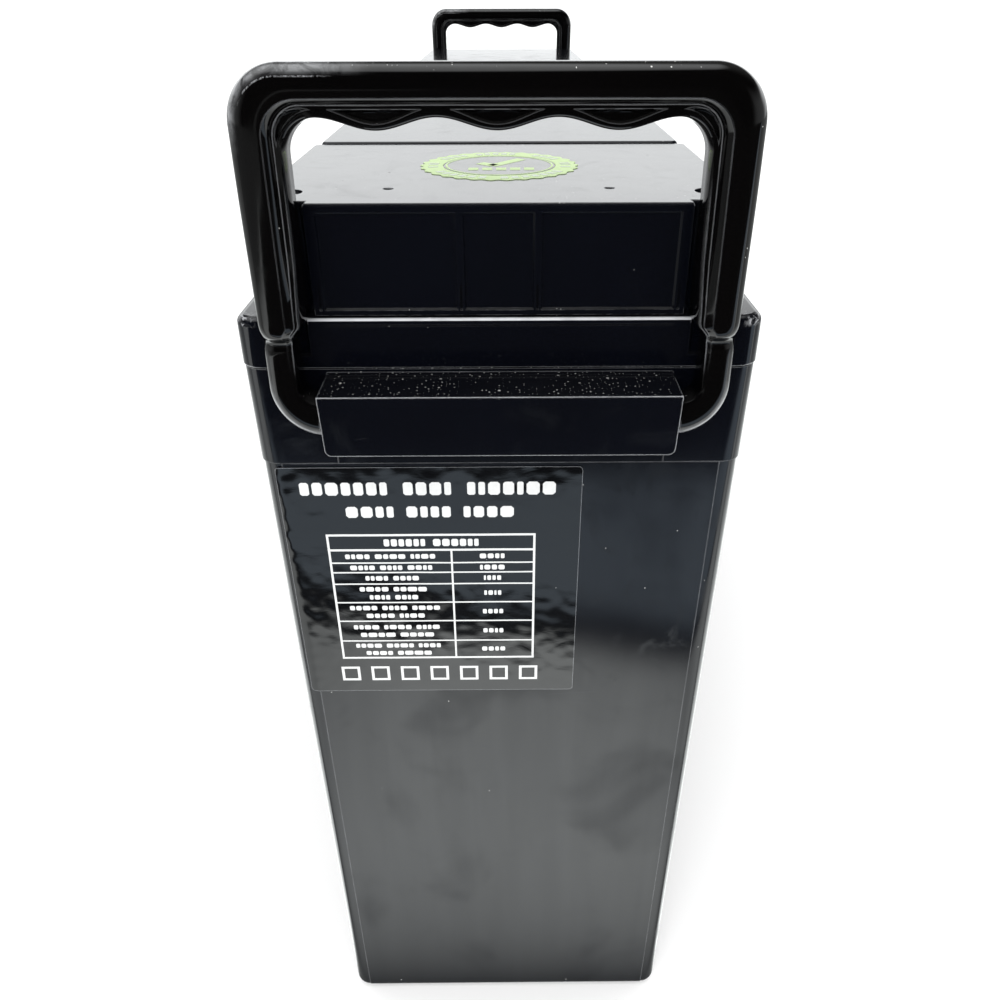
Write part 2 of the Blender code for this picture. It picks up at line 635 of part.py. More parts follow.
def make_busbars(posts):
    for number in (1, 2, 3):
        xs, ys = zip(posts[(number, "negative")], posts[(number + 1, "positive")])
        block(f"busbar_cell_{number}_to_{number + 1}",
              (min(xs) - BUSBAR_HALF, max(xs) + BUSBAR_HALF),
              (min(ys) - BUSBAR_HALF, max(ys) + BUSBAR_HALF),
              (BUSBAR_Z, BUSBAR_TOP), "nickelled_copper", radius=3.0, steps=3, chamfer=0.3)
    for tag, number in (("positive", 1), ("negative", 4)):
        x, y = posts[(number, tag)]
        plate_with_holes(f"{tag}_output_tab", around(x, BUSBAR_HALF),
                         (y - TAB_REACH, y + BUSBAR_HALF), (BUSBAR_Z, BUSBAR_TOP),
                         [(x, y - TAB_HOLE, 3.4)], "nickelled_copper", radius=3.0)


# ---------------------------------------------------------------- pack fittings
END_PLATE_NEAR, END_PLATE_FAR = PACK_HALF_Y + 0.4, PACK_HALF_Y + 3.4
BAND_HALF_X, BAND_HALF_Y = 55.8, PACK_HALF_Y + 4.8
BAND_THICK, BAND_HEIGHT = 0.9, 16
FOAM_END, FOAM_TOP = 268.0, 190.0


def make_pack_fittings():
    # cross-shaped divider
    divider = block("cell_divider", around(0, 0.6), around(PACK_Y, PACK_HALF_Y),
                    (CELL_Z0, CELL_TOP - 4), "epoxy_board")
    join(divider, block("cut_divider", around(0, CELL_T), around(PACK_Y, 0.6),
                        (CELL_Z0 + 1, CELL_TOP - 5)))
    for tag, sign in ENDS:
        ys = [PACK_Y + y for y in mirrored(sign, END_PLATE_NEAR, END_PLATE_FAR)]
        block(f"{tag}_end_plate", around(0, 53.5), ys, (CELL_Z0, CELL_TOP - 6), "epoxy_board")
        ys = sorted((PACK_Y + sign * (PACK_HALF_Y + 6.0), sign * FOAM_END))
        block(f"{tag}_foam_block", around(0, 53.0), ys, (FLOOR + 0.5, FOAM_TOP), "eva_foam",
              radius=3, chamfer=2)
    for tag, z in (("lower", 62.0), ("upper", 146.0)):
        band = block(f"{tag}_pack_band", around(0, BAND_HALF_X), around(PACK_Y, BAND_HALF_Y),
                     (z, z + BAND_HEIGHT), "pet_band", radius=2.6)
        cut(band, block(f"cut_{tag}_band", around(0, BAND_HALF_X - BAND_THICK),
                        around(PACK_Y, BAND_HALF_Y - BAND_THICK),
                        (z - 3, z + BAND_HEIGHT + 3), radius=1.8))
    block("base_pad", around(0, 52.0), around(PACK_Y, PACK_HALF_Y),
          (FLOOR + GAP, CELL_Z0 - GAP), "eva_foam")


# ---------------------------------------------------------------- protection board
BMS_Y0, BMS_Y1 = PACK_Y - 70, PACK_Y + 110             # ends of the board
TRAY_Z, TRAY_THICK = BUSBAR_TOP + 5.0, 3
BOARD_Z, BOARD_THICK = TRAY_Z + 3.4, 2
PARTS_Z = BOARD_Z + BOARD_THICK + GAP                  # underside of the parts on the board
HEATSINK_Z = BOARD_Z + 7.4
BMS_SCREW_X = 42
BMS_SCREW_YS = (BMS_Y0 + 6, BMS_Y1 - 6)
BMS_SCREW_PROFILE = ((-2.5, 1.5), (0, 1.5), (0, 2.9), (1.2, 2.9), (2.0, 2.0))
FIN_COUNT, FIN_FIRST_X, FIN_PITCH = 9, -34, 8.5


def bms_holes(radius):
    return [(sx * BMS_SCREW_X, y, radius) for sx in (-1, 1) for y in BMS_SCREW_YS]


def make_bms():
    """Protection board on its footed tray, above the busbars."""
    tray = plate_with_holes("bms_tray", around(0, 50), (BMS_Y0 - 8, BMS_Y1 + 8),
                            (TRAY_Z, TRAY_Z + TRAY_THICK), bms_holes(1.3), "epoxy_board", radius=2)
    for k, (x, y) in enumerate(((-44, BMS_Y0), (44, BMS_Y0), (-44, BMS_Y1), (44, BMS_Y1))):
        join(tray, block(f"cut_foot_{k}", around(x, 4), around(y, 4),
                         (CELL_TOP + 0.4, TRAY_Z + 1.5)))
    plate_with_holes("bms_board", around(0, 46), (BMS_Y0, BMS_Y1),
                     (BOARD_Z, BOARD_Z + BOARD_THICK), bms_holes(1.9), "green_pcb", radius=2)
    block("bms_mosfet_bank", around(0, 38), (BMS_Y0 + 24, BMS_Y1 - 60),
          (PARTS_Z, BOARD_Z + 7.0), "black_part", radius=0.6)
    heatsink = block("bms_heatsink", around(0, 46), (BMS_Y0 + 20, BMS_Y1 - 46),
                     (HEATSINK_Z, HEATSINK_Z + 4), "aluminium", radius=1.5)
    for k in range(FIN_COUNT):
        join(heatsink, block(f"cut_fin_{k}", around(FIN_FIRST_X + FIN_PITCH * k, 0.9),
                             (BMS_Y0 + 23, BMS_Y1 - 49), (HEATSINK_Z + 3, HEATSINK_Z + 15)))
    block("balance_connector", around(0, 16), (BMS_Y1 - 34, BMS_Y1 - 26),
          (PARTS_Z, BOARD_Z + 10), "white_nylon", radius=0.6)
    for (tag, _), y in zip(ENDS, BMS_SCREW_YS):
        for side, sx in SIDES:
            turned(f"bms_screw_{tag}_{side}", BMS_SCREW_PROFILE, 12,
                   (sx * BMS_SCREW_X, y, PARTS_Z), "zinc_steel")


# ---------------------------------------------------------------- terminals and leads
POST_Z = 269.4            # origin of the post's profile
POST_PROFILE = (          # offset from POST_Z, radius
    (-5.0, 3.6), (-4.6, 4.0), (-2.7, 4.0), (-2.7, 2.3), (0, 2.3),
    (0, 5.9), (13.4, 5.9), (13.4, 9.0), (20.6, 9.0), (21.4, 8.2),
)
BOLT_HOLE_R = 4.35
WASHER_Z0 = POST_Z + 21.4 + GAP
WASHER_Z1 = WASHER_Z0 + 1.6
TERMINAL_LUG_Z = 267.0
TAB_LUG_Z = BUSBAR_TOP + GAP
POWER_CABLE_R = 3.45


def make_tab_joint(tag, post, direction, reach):
    """Lug bolted to an output tab."""
    x, y = post[0], post[1] - TAB_HOLE
    make_lug(f"{tag}_tab_lug", x, y, TAB_LUG_Z, direction, reach, hole_r=3.4)
    hex_bolt(f"{tag}_tab_bolt", (x, y, TAB_LUG_Z + LUG_THICK + GAP),
             shank_r=2.9, length=6.6, flats=10.0, head=4.0)


def make_terminal(tag, x):
    """A flanged post through the lid, with its lead riveted underneath."""
    post = turned(f"{tag}_terminal_post", POST_PROFILE, 20, (x, POST_Y, POST_Z), "tinned_brass")
    cut(post, rod(f"cut_{tag}_thread", 0, 30, BOLT_HOLE_R, 16, (x, POST_Y, 275.0)))
    hex_bolt(f"{tag}_terminal_bolt", (x, POST_Y, WASHER_Z1 + GAP),
             shank_r=4.0, length=13.5, flats=13.0, head=5.3)
    plate_with_holes(f"{tag}_terminal_washer", around(x, 8), around(POST_Y, 8),
                     (WASHER_Z0, WASHER_Z1), [(x, POST_Y, BOLT_HOLE_R)], "zinc_steel", radius=7.9)
    make_lug(f"{tag}_terminal_lug", x, POST_Y, TERMINAL_LUG_Z, 1, reach=24.0, hole_r=2.6)


def terminal_run(x):
    """Last points of a power cable, rising into the lug under a terminal."""
    z = TERMINAL_LUG_Z + BARREL_R
    return [(x, -224, 270.4), (x, -232, 271.3), (x, -240, z), (x, POST_Y + 17, z),
            (x, POST_Y + 11.5, z)]


def make_cables(positive_post, negative_post):
    tab_z = TAB_LUG_Z
    barrel_z = tab_z + BARREL_R
    x, y = positive_post
    tube("positive_cable", [
        (x, y - 37, barrel_z), (x, y - 46, barrel_z), (x, y - 54, barrel_z),
        (x, y - 60, tab_z + 4.9), (x, y - 74, tab_z + 9), (-POST_X, -204, 256),
        *terminal_run(-POST_X)], POWER_CABLE_R, "red_silicone")
    x, y = negative_post
    tube("bms_input_cable", [
        (x, y - 15, barrel_z), (x, y - 9, barrel_z), (x, y - 2.5, barrel_z),
        (x, y + 8, tab_z + 9.5), (20, BMS_Y0 - 14, tab_z + 12), (16, BMS_Y0 + 2, BOARD_Z + 6.4),
        (14, BMS_Y0 + 12.5, BOARD_Z + 6.2)], 3.4, "black_silicone")
    tube("bms_output_cable", [
        (-14, BMS_Y0 + 12.5, BOARD_Z + 6.2), (-14, BMS_Y0 - 6, BOARD_Z + 7.4),
        (-2, BMS_Y0 - 40, BOARD_Z + 14), (POST_X, -200, 258),
        *terminal_run(POST_X)], POWER_CABLE_R, "black_silicone")
    tube("balance_harness", [
        (0, BMS_Y1 - 24, BOARD_Z + 6.2), (0, BMS_Y1 - 6, BOARD_Z + 6.6),
        (0, BMS_Y1 + 14, BOARD_Z + 2), (0, BMS_Y1 + 26, BUSBAR_TOP + 4.5),
        (0, BMS_Y1 + 52, BUSBAR_TOP + 3.2)], 2.0, "white_nylon", sides=6)


def make_inside():
    posts = make_cells()
    make_busbars(posts)
    make_pack_fittings()
    make_bms()
    positive, negative = posts[(1, "positive")], posts[(4, "negative")]
    make_tab_joint("positive", positive, direction=-1, reach=26.0)
    make_tab_joint("negative", negative, direction=1, reach=22.0)
    make_terminal("positive", -POST_X)
    make_terminal("negative", POST_X)
    make_cables(positive, negative)


# ---------------------------------------------------------------- films and seal
LABEL_Z0, LABEL_Z1 = 165.1, 243.1
LABEL_RIGHT = 21.2        # x of its right edge
LABEL_WIDTH = 79.4        # measured along the wall
FILM = 0.3                # thickness of label and sticker
STICKER_R = 20.9
SEAL_Z0, SEAL_Z1 = 278.3, 279.1
SEAL_OUTSET, SEAL_OUTER_R = 0.3, 3.4   # outer edge, inside the rim's edge


def label_row(z, offset):
    """Points at z from the label's right edge to part way round the left corner."""
    radius = CORNER_R + offset
    corner_x, corner_y = (half - COLLAR_STEP - CORNER_R for half in case_half(z))
    turn = (LABEL_WIDTH - LABEL_RIGHT - corner_x) / CORNER_R
    row = [(x, -corner_y - radius, z)
           for x in (LABEL_RIGHT, (LABEL_RIGHT - corner_x) / 2, -corner_x)]
    for k in range(1, 5):
        angle = turn * k / 4
        row.append((-corner_x - radius * math.sin(angle), -corner_y - radius * math.cos(angle), z))
    return row


def make_label():
    loops = []
    for k in range(3):
        z = LABEL_Z0 + (LABEL_Z1 - LABEL_Z0) * k / 2
        loops.append(label_row(z, GAP) + label_row(z, GAP + FILM)[::-1])
    loft("rating_label", loops, "label_film")


def make_sticker():
    rod("round_sticker", 0, FILM, STICKER_R, 48, (0, -END + 47.5, COVER_Z + GAP), "lime_sticker")


def make_seal():
    """A flat gasket on the case rim."""
    loft("lid_seal", [rim_loop(-SEAL_OUTSET, SEAL_OUTER_R, SEAL_Z0),
                      rim_loop(-SEAL_OUTSET, SEAL_OUTER_R, SEAL_Z1),
                      rim_loop(-SEAL_INSET, SEAL_INNER_R, SEAL_Z1),
                      rim_loop(-SEAL_INSET, SEAL_INNER_R, SEAL_Z0)], "gasket_rubber", closed=True)


def main():
    clear_scene()
    make_materials()
    make_case()
    make_lid()
    make_cover()
    make_handle("front_handle", -1)
    make_handle("rear_handle", 1)
    for side, sx in SIDES:
        make_cover_screw(side, sx)
    make_seal()
    make_inside()
    make_label()
    make_sticker()


main()
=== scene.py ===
"""A black battery pack: case, lid, terminal cover, two swinging handles, a label and a sticker.

It stands on z = 0, centred on x and y. -y is the front, where the terminal cover, the label
and the front handle are; the rear handle is at +y. Sizes are in millimetres until a mesh or a
shader is made.
"""
import json
import math
import random
from collections import namedtuple

import bmesh
import bpy
from mathutils import Matrix, Vector, noise


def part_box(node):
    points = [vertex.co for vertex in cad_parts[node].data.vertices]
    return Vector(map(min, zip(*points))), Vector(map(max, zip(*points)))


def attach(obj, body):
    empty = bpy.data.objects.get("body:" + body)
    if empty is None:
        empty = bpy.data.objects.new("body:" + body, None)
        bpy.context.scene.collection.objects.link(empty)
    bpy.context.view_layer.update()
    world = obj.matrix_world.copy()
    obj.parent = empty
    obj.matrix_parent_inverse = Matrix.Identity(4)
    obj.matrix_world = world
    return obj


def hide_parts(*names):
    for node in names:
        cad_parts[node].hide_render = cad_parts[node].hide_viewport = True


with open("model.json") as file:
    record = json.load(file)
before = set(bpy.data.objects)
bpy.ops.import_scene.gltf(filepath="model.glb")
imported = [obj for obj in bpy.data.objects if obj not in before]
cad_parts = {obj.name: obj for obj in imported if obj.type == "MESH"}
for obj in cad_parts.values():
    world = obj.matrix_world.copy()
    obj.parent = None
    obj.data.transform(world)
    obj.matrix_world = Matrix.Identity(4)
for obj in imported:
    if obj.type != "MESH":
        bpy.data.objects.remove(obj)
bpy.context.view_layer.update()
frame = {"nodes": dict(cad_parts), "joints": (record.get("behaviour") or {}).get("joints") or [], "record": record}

MM = 0.001
random.seed(7)


# ------------------------------------------------------------------ sizes (mm)
def box_mm(node):
    """The low and high corner of a CAD piece."""
    lo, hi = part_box(node)
    return [c * 1000.0 for c in lo], [c * 1000.0 for c in hi]


def middle(lo, hi, axis):
    return (lo[axis] + hi[axis]) / 2


LID_LO, LID_HI = box_mm("lid")
CASE_HI = box_mm("case")[1]
COVER_LO, COVER_HI = box_mm("terminal_cover")
LABEL_LO, LABEL_HI = box_mm("rating_label")
STICKER_LO, STICKER_HI = box_mm("round_sticker")
SCREW_BOX = box_mm("cover_screw_right")
POST_BOX = box_mm("positive_terminal_post")
HANDLE_HI = box_mm("front_handle")[1]
JOINTS = {joint["name"]: joint for joint in frame["joints"]}
PIVOT = [c * 1000.0 for c in JOINTS["front_handle_swing"]["pos_m"]]

# HW is a half width in x, HL a half length in y
END = LID_HI[1]                 # half length over the lid's skirt
SKIRT_Z = LID_LO[2]             # lower edge of the skirt
SKIRT_HW = LID_HI[0]
DECK_Z = LID_HI[2]              # top of the raised deck behind the cover
COVER_Z = COVER_HI[2]
SHOULDER_Z = COVER_LO[2] - 0.3  # ledge the cover stands on
COVER_HW = COVER_HI[0]
COVER_Y0, COVER_Y1 = COVER_LO[1], COVER_HI[1]
DECK_Y0, DECK_Y1 = COVER_Y1 + 0.7, END - 1.5
DECK_HW = COVER_HW - 1.5
SETBACK = 4.1                   # how far the notches beside each end block reach in
CORNER_R = 5.5                  # upright corners of case and skirt
CASE_TOP_HW, CASE_FOOT_HW = CASE_HI[0], CASE_HI[0] - 1.4
CASE_TOP_HL, CASE_FOOT_HL = END - 0.4, END - 1.9
COLLAR_Z, STEP = 244.3, 0.3     # foot of the raised collar, and how far it stands out
BOX_Z0, BOX_Z1, BOX_HW = 254.1, 269.3, 41.7  # hinge box on each end of the case
BOX_FACE = CASE_HI[1]           # y of its outer face
BLOCK_HW = 44.6                 # square-edged block of the lid, between the handle legs
CHANNEL_IN, CHANNEL_OUT = 42.9, 55.2
PIVOT_Y, PIVOT_Z = abs(PIVOT[1]), PIVOT[2]
SCREW_X, SCREW_Y = middle(*SCREW_BOX, 0), middle(*SCREW_BOX, 1)
POST_X, POST_Y = abs(middle(*POST_BOX, 0)), middle(*POST_BOX, 1)

# handle, measured from its pivot
HANDLE_LEAN = math.radians(3.4)
HANDLE_TOP = HANDLE_HI[2] - PIVOT_Z - 0.29
HANDLE_HW = 53.95
STUD_X = 42.1                   # where the lower bend ends and the pivot stud starts
LOWER_BEND = (40.7, 8.0)        # centre of the lower bend's outside
FRAME_CORNER = (38.9, 60.6)     # centre of the thick frame's inner corner
GRIP_CORNER = (36.0, 57.35)     # centre of the opening's corner
FINGER_PITCH = 24.2
POCKET_MID, POCKET_WAVE, POCKET_TOP = 64.738, 1.538, 65.9


def case_hw(z):
    return CASE_TOP_HW - (CASE_TOP_HW - CASE_FOOT_HW) * (SKIRT_Z - z) / SKIRT_Z


def case_hl(z):
    return CASE_TOP_HL - (CASE_TOP_HL - CASE_FOOT_HL) * (SKIRT_Z - z) / SKIRT_Z


# ------------------------------------------------------------------ shader helpers
class Value:
    """One output of a shader node. Arithmetic and comparisons on it add Math nodes."""

    def __init__(self, shader, node, key=0):
        self.shader = shader
        self.node = node
        self.key = key

    def __getitem__(self, key):
        """Another output of the same node."""
        return Value(self.shader, self.node, key)

    def math(self, operation, other=0.0):
        return self.shader.make("Math", {0: self, 1: other}, operation=operation)

    def __add__(self, other):
        return self.math("ADD", other)

    def __sub__(self, other):
        return self.math("SUBTRACT", other)

    def __mul__(self, other):
        return self.math("MULTIPLY", other)

    def __pow__(self, other):
        return self.math("POWER", other)

    def __gt__(self, other):
        return self.math("GREATER_THAN", other)

    def __lt__(self, other):
        return self.math("LESS_THAN", other)

    def __abs__(self):
        return self.math("ABSOLUTE")

    def __radd__(self, other):
        return self.shader.make("Math", {0: other, 1: self}, operation="ADD")

    def __rsub__(self, other):
        return self.shader.make("Math", {0: other, 1: self}, operation="SUBTRACT")

    def max(self, other):
        return self.math("MAXIMUM", other)

    def min(self, other):
        return self.math("MINIMUM", other)

    def hypot(self, other):
        return (self * self + other * other).math("SQRT")

    def ramp(self, start, end, to=(0.0, 1.0)):
        """Goes smoothly from to[0] at start to to[1] at end."""
        inputs = {"Value": self, "From Min": start, "From Max": end,
                  "To Min": to[0], "To Max": to[1]}
        return self.shader.make("MapRange", inputs, interpolation_type="SMOOTHSTEP")

    def ramp_mm(self, start, end, to=(0.0, 1.0)):
        """A ramp over a length, with start and end in millimetres."""
        return self.ramp(start * MM, end * MM, to)


class Shader:
    """Adds nodes to one node tree."""

    def __init__(self, tree):
        self.tree = tree
        self.place = None

    def set(self, socket, value):
        if isinstance(value, Value):
            self.tree.links.new(value.node.outputs[value.key], socket)
        else:
            socket.default_value = value

    def make(self, kind, inputs=None, **settings):
        node = self.tree.nodes.new("ShaderNode" + kind)
        for key, value in settings.items():
            setattr(node, key, value)
        for key, value in (inputs or {}).items():
            self.set(node.inputs[key], value)
        return Value(self, node)

    def split(self, vector):
        """Indexed by 0, 1, 2 for x, y, z."""
        return self.make("SeparateXYZ", {0: vector})

    def noise(self, scale, detail=2.0, rough=0.5, warp=0.0, place=None):
        inputs = {"Vector": place or self.place, "Scale": scale, "Detail": detail,
                  "Roughness": rough, "Distortion": warp}
        return self.make("TexNoise", inputs)["Fac"]

    def mix_by_glossy(self, plain, mirrored):
        """The mirrored shader for reflected rays, the plain one for all others."""
        glossy = self.make("LightPath")["Is Glossy Ray"]
        return self.make("MixShader", {0: glossy, 1: plain, 2: mirrored})


class Finish(Shader):
    """A material around a Principled BSDF, with its textures placed in object space."""

    def __init__(self, name):
        self.material = bpy.data.materials.new(name)
        self.material.use_nodes = True
        super().__init__(self.material.node_tree)
        self.surface = self.tree.nodes["Principled BSDF"]
        self.place = self.make("TexCoord")["Object"]

    def axis(self, index):
        return self.split(self.place)[index]

    def mapped(self, scale, rotation=(0, 0, 0)):
        inputs = {"Vector": self.place, "Scale": scale, "Rotation": rotation}
        return self.make("Mapping", inputs)

    def voronoi(self, scale, feature="F1", place=None, dimensions="3D"):
        inputs = {"Vector": place or self.place, "Scale": scale}
        return self.make("TexVoronoi", inputs, feature=feature, voronoi_dimensions=dimensions)

    def wave(self, scale, direction):
        inputs = {"Vector": self.place, "Scale": scale, "Distortion": 0.0, "Detail": 0.0}
        return self.make("TexWave", inputs, bands_direction=direction)["Fac"]

    def mix(self, factor, first, second):
        def colour(value):
            return value if isinstance(value, Value) else (*value, 1.0)
        inputs = {0: factor, 6: colour(first), 7: colour(second)}
        return self.make("Mix", inputs, data_type="RGBA")[2]

    def facing_up(self):
        normal = self.make("NewGeometry")["Normal"]
        return self.split(normal)[2].ramp(0.5, 0.95)

    def bump(self, height, strength, depth, normal=None):
        inputs = {"Strength": strength, "Distance": depth, "Height": height}
        if normal is not None:
            inputs["Normal"] = normal
        return self.make("Bump", inputs)

    def finish(self, colour, rough, normal, metallic=0.0, ior=None):
        values = {"Base Color": colour, "Roughness": rough, "Metallic": metallic,
                  "Normal": normal}
        if ior is not None:
            values["IOR"] = ior
        for key, value in values.items():
            self.set(self.surface.inputs[key], value)
        return self.material

    def speck_cells(self, scale, share, dimensions):
        """Distance to each cell's centre, which cells hold a speck, and a random size."""
        cells = self.voronoi(scale, dimensions=dimensions)
        parts = self.make("SeparateColor", {0: cells["Color"]})
        return cells["Distance"], parts[0] > 1.0 - share, parts[1]

    def specks(self, scale, size, share):
        """Scattered dots: 1 inside a speck."""
        distance, chosen, draw = self.speck_cells(scale, share, "3D")
        return chosen * (distance < draw * size)

    def flat_specks(self, scale, size, share):
        """Dots that lie on a face looking up, most of them small."""
        distance, chosen, draw = self.speck_cells(scale, share, "2D")
        return chosen * (distance < draw ** 2.2 * size + 0.045)

    def edges(self, radius):
        """1 along sharp edges: a mask for painted edge highlights, and for wear where handling has polished and
        nicked them.
        """
        bevel = self.make("Bevel", {"Radius": radius}, samples=4)
        normal = self.make("NewGeometry")["Normal"]
        same = self.make("VectorMath", {0: bevel, 1: normal}, operation="DOT_PRODUCT")
        return (1.0 - same["Value"]).ramp(0.0015, 0.03)

    def scratches(self, scale, stretch, rotation, width, share):
        """Hairlines along the borders of stretched cells, broken up by noise."""
        place = self.mapped((scale, scale * stretch, scale * stretch), rotation)
        gaps = self.noise(scale=40.0)
        cells = self.voronoi(1.0, feature="DISTANCE_TO_EDGE", place=place)
        line = cells["Distance"] < width * 0.5
        return line * gaps.ramp(1.0 - share, 1.0 - share + 0.04)


# ------------------------------------------------------------------ black mouldings
EDGE_SHEEN_AND_WEAR_GREY = (0.42, 0.43, 0.45)  # colour of the painted edge highlights and of worn edges


def black_plastic(name, *, rough, smudge, dust_top, film_top, base=(0.0010, 0.0012, 0.0022),
                  tint=(0.0020, 0.0026, 0.0052), dust=0.5, clump=1.0, blot=0.1, peel=0.012,
                  scratch=0.35, edge=0.5, edge_radius=0.0003, edge_sheen_colour=EDGE_SHEEN_AND_WEAR_GREY, sheen_and_wear=None):
    """Gloss black moulding: dust on top, smears, hairline scratches, and pale edges that are partly wear and
    partly painted highlight.

    base and tint are blended by large noise. dust is for all faces, dust_top and film_top for
    faces looking up, and clump gathers that dust. smudge and blot vary the gloss, and peel is
    the surface ripple. The last argument, a function of mat, may return a mask of scuffs and
    painted highlights, or None, and a factor on the painted edge highlights and edge wear.
    """
    mat = Finish(name)
    large = mat.noise(scale=16.0, detail=3.0, rough=0.55, warp=0.6)
    smear = mat.noise(scale=70.0, detail=4.0, rough=0.6, warp=1.2).ramp(0.5, 0.75)
    up = mat.facing_up()
    film = up * mat.noise(scale=60.0, detail=5.0, rough=0.65).ramp(0.25, 0.8, to=(0.5, 1.0))

    small = mat.specks(scale=420.0, size=0.09, share=0.20 * dust)
    coarse = mat.specks(scale=120.0, size=0.045, share=0.25 * dust)
    gather = mat.noise(scale=90.0, detail=3.0, rough=0.6, warp=1.0)
    gather = gather.ramp(0.42, 0.62, to=(0.35, 1.0))
    top_small = mat.flat_specks(scale=1050.0, size=0.16, share=0.24 * dust_top)
    top_small = top_small * (gather > 1.0 - 0.62 * clump)
    top_coarse = mat.flat_specks(scale=430.0, size=0.10, share=0.07 * dust_top)
    top = (up > 0.6) * top_small.max(top_coarse)
    specks = small.max(coarse).max(top)

    lines = mat.scratches(scale=9.0, stretch=5.0, rotation=(0.3, 0.9, 0.5),
                          width=0.0035, share=0.36) * scratch
    lines = lines.max(mat.scratches(scale=14.0, stretch=4.0, rotation=(1.1, 0.2, 1.9),
                                    width=0.003, share=0.34) * scratch)

    colour = mat.mix(large, base, tint)
    colour = mat.mix(film * film_top, colour, (0.3, 0.3, 0.29))
    colour = mat.mix(lines * 0.10, colour, (0.4, 0.41, 0.42))
    # pale edges, partly a painted highlight and partly wear, broken up by noise
    edge_breakup = mat.noise(scale=140.0, detail=4.0, rough=0.7).ramp(0.25, 0.75, to=(0.45, 1.0))
    scuffs_and_sheen, edge_sheen_gain = sheen_and_wear(mat) if sheen_and_wear else (None, None)
    edges = mat.edges(edge_radius) * edge_breakup
    if edge_sheen_gain is not None:
        edges = edges * edge_sheen_gain
    colour = mat.mix(edges * edge, colour, edge_sheen_colour)
    # scuffs and painted highlights from the last argument, in pale grey
    if scuffs_and_sheen is not None:
        colour = mat.mix(scuffs_and_sheen, colour, (0.52, 0.53, 0.55))
    speck_strength = mat.noise(scale=700.0).ramp(0.35, 0.65, to=(0.25, 0.8))
    colour = mat.mix(specks * speck_strength, colour, (0.62, 0.62, 0.6))

    roughness = smear * smudge + rough + film * 0.05 + specks.max(lines) * 0.35

    # upright streaks and soft blots dull the shine
    streak = mat.noise(scale=1.0, detail=4.0, rough=0.6, warp=0.3,
                       place=mat.mapped((120, 120, 9)))
    blots = mat.noise(scale=26.0, detail=3.0, rough=0.5, warp=0.4,
                      place=mat.mapped((1, 1, 0.75))).ramp(0.52, 0.72)
    shine = streak.ramp(0.3, 0.7, to=(0.47, 0.52)) * (1.0 - blots * blot)
    mat.set(mat.surface.inputs["Specular IOR Level"], shine)

    ripple = mat.noise(scale=900.0) * 0.25 + mat.noise(scale=130.0) * 1.0
    normal = mat.bump(ripple, strength=peel, depth=0.0006)
    normal = mat.bump(small.max(coarse), strength=0.4, depth=0.0002, normal=normal)
    return mat.finish(colour, roughness, normal, ior=1.5)


def lid_sheen_and_wear(mat):
    """A painted highlight along the square top edge of the end blocks, and pale mottled patches on the corners
    that are partly painted highlight and partly scuffs.
    """
    across, along, z = abs(mat.axis(0)), abs(mat.axis(1)), mat.axis(2)
    # painted highlight line along the top edge of each end block
    top = z.ramp_mm(SHOULDER_Z - 0.62, SHOULDER_Z - 0.45)
    line = top * along.ramp_mm(END - 1.0, END - 0.5)
    line = line * across.ramp_mm(BLOCK_HW + 0.5, BLOCK_HW + 0.1)
    line = line * mat.noise(scale=160.0, detail=3.0, rough=0.6).ramp(0.2, 0.6, to=(0.7, 1.0))
    # pale mottled patches on the corners: partly painted highlight, partly scuffs
    corner = across.ramp_mm(56.5, 59.5) * along.ramp_mm(END - 6.0, END - 3.0)
    corner = corner * z.ramp_mm(SHOULDER_Z - 2.6, SHOULDER_Z - 1.2)
    patchy = mat.noise(scale=420.0, detail=5.0, rough=0.7, warp=1.2)
    corner_sheen_and_scuff = corner * patchy.ramp(0.5, 0.62, to=(0.0, 0.7))
    # painted highlight lines on the skirt's lower edge and just under the shoulder, as a gain on the edge mask
    rim = z.ramp_mm(SKIRT_Z + 1.5, SKIRT_Z + 0.2, to=(0.04, 1.3))
    rim = rim + z.ramp_mm(SHOULDER_Z - 1.4, SHOULDER_Z - 1.1, to=(0.0, 0.5))
    return line.max(corner_sheen_and_scuff), rim


def case_edge_highlights(mat):
    """Painted highlights round the outer face of each hinge box, and stronger painted edge highlights on the boxes
    than elsewhere on the case.
    """
    along = abs(mat.axis(1))
    outside = along.ramp_mm(END + 1.5, END + 6.0)
    # painted highlight round the outer face of the hinge box
    rim = along.ramp_mm(BOX_FACE - 0.55, BOX_FACE - 0.2)
    rim = rim * mat.edges(0.0004).ramp(0.25, 0.7)
    patchy = mat.noise(scale=220.0, detail=4.0, rough=0.6)
    rim = rim * patchy.ramp(0.3, 0.6, to=(0.35, 0.75))
    return rim, 0.55 + outside


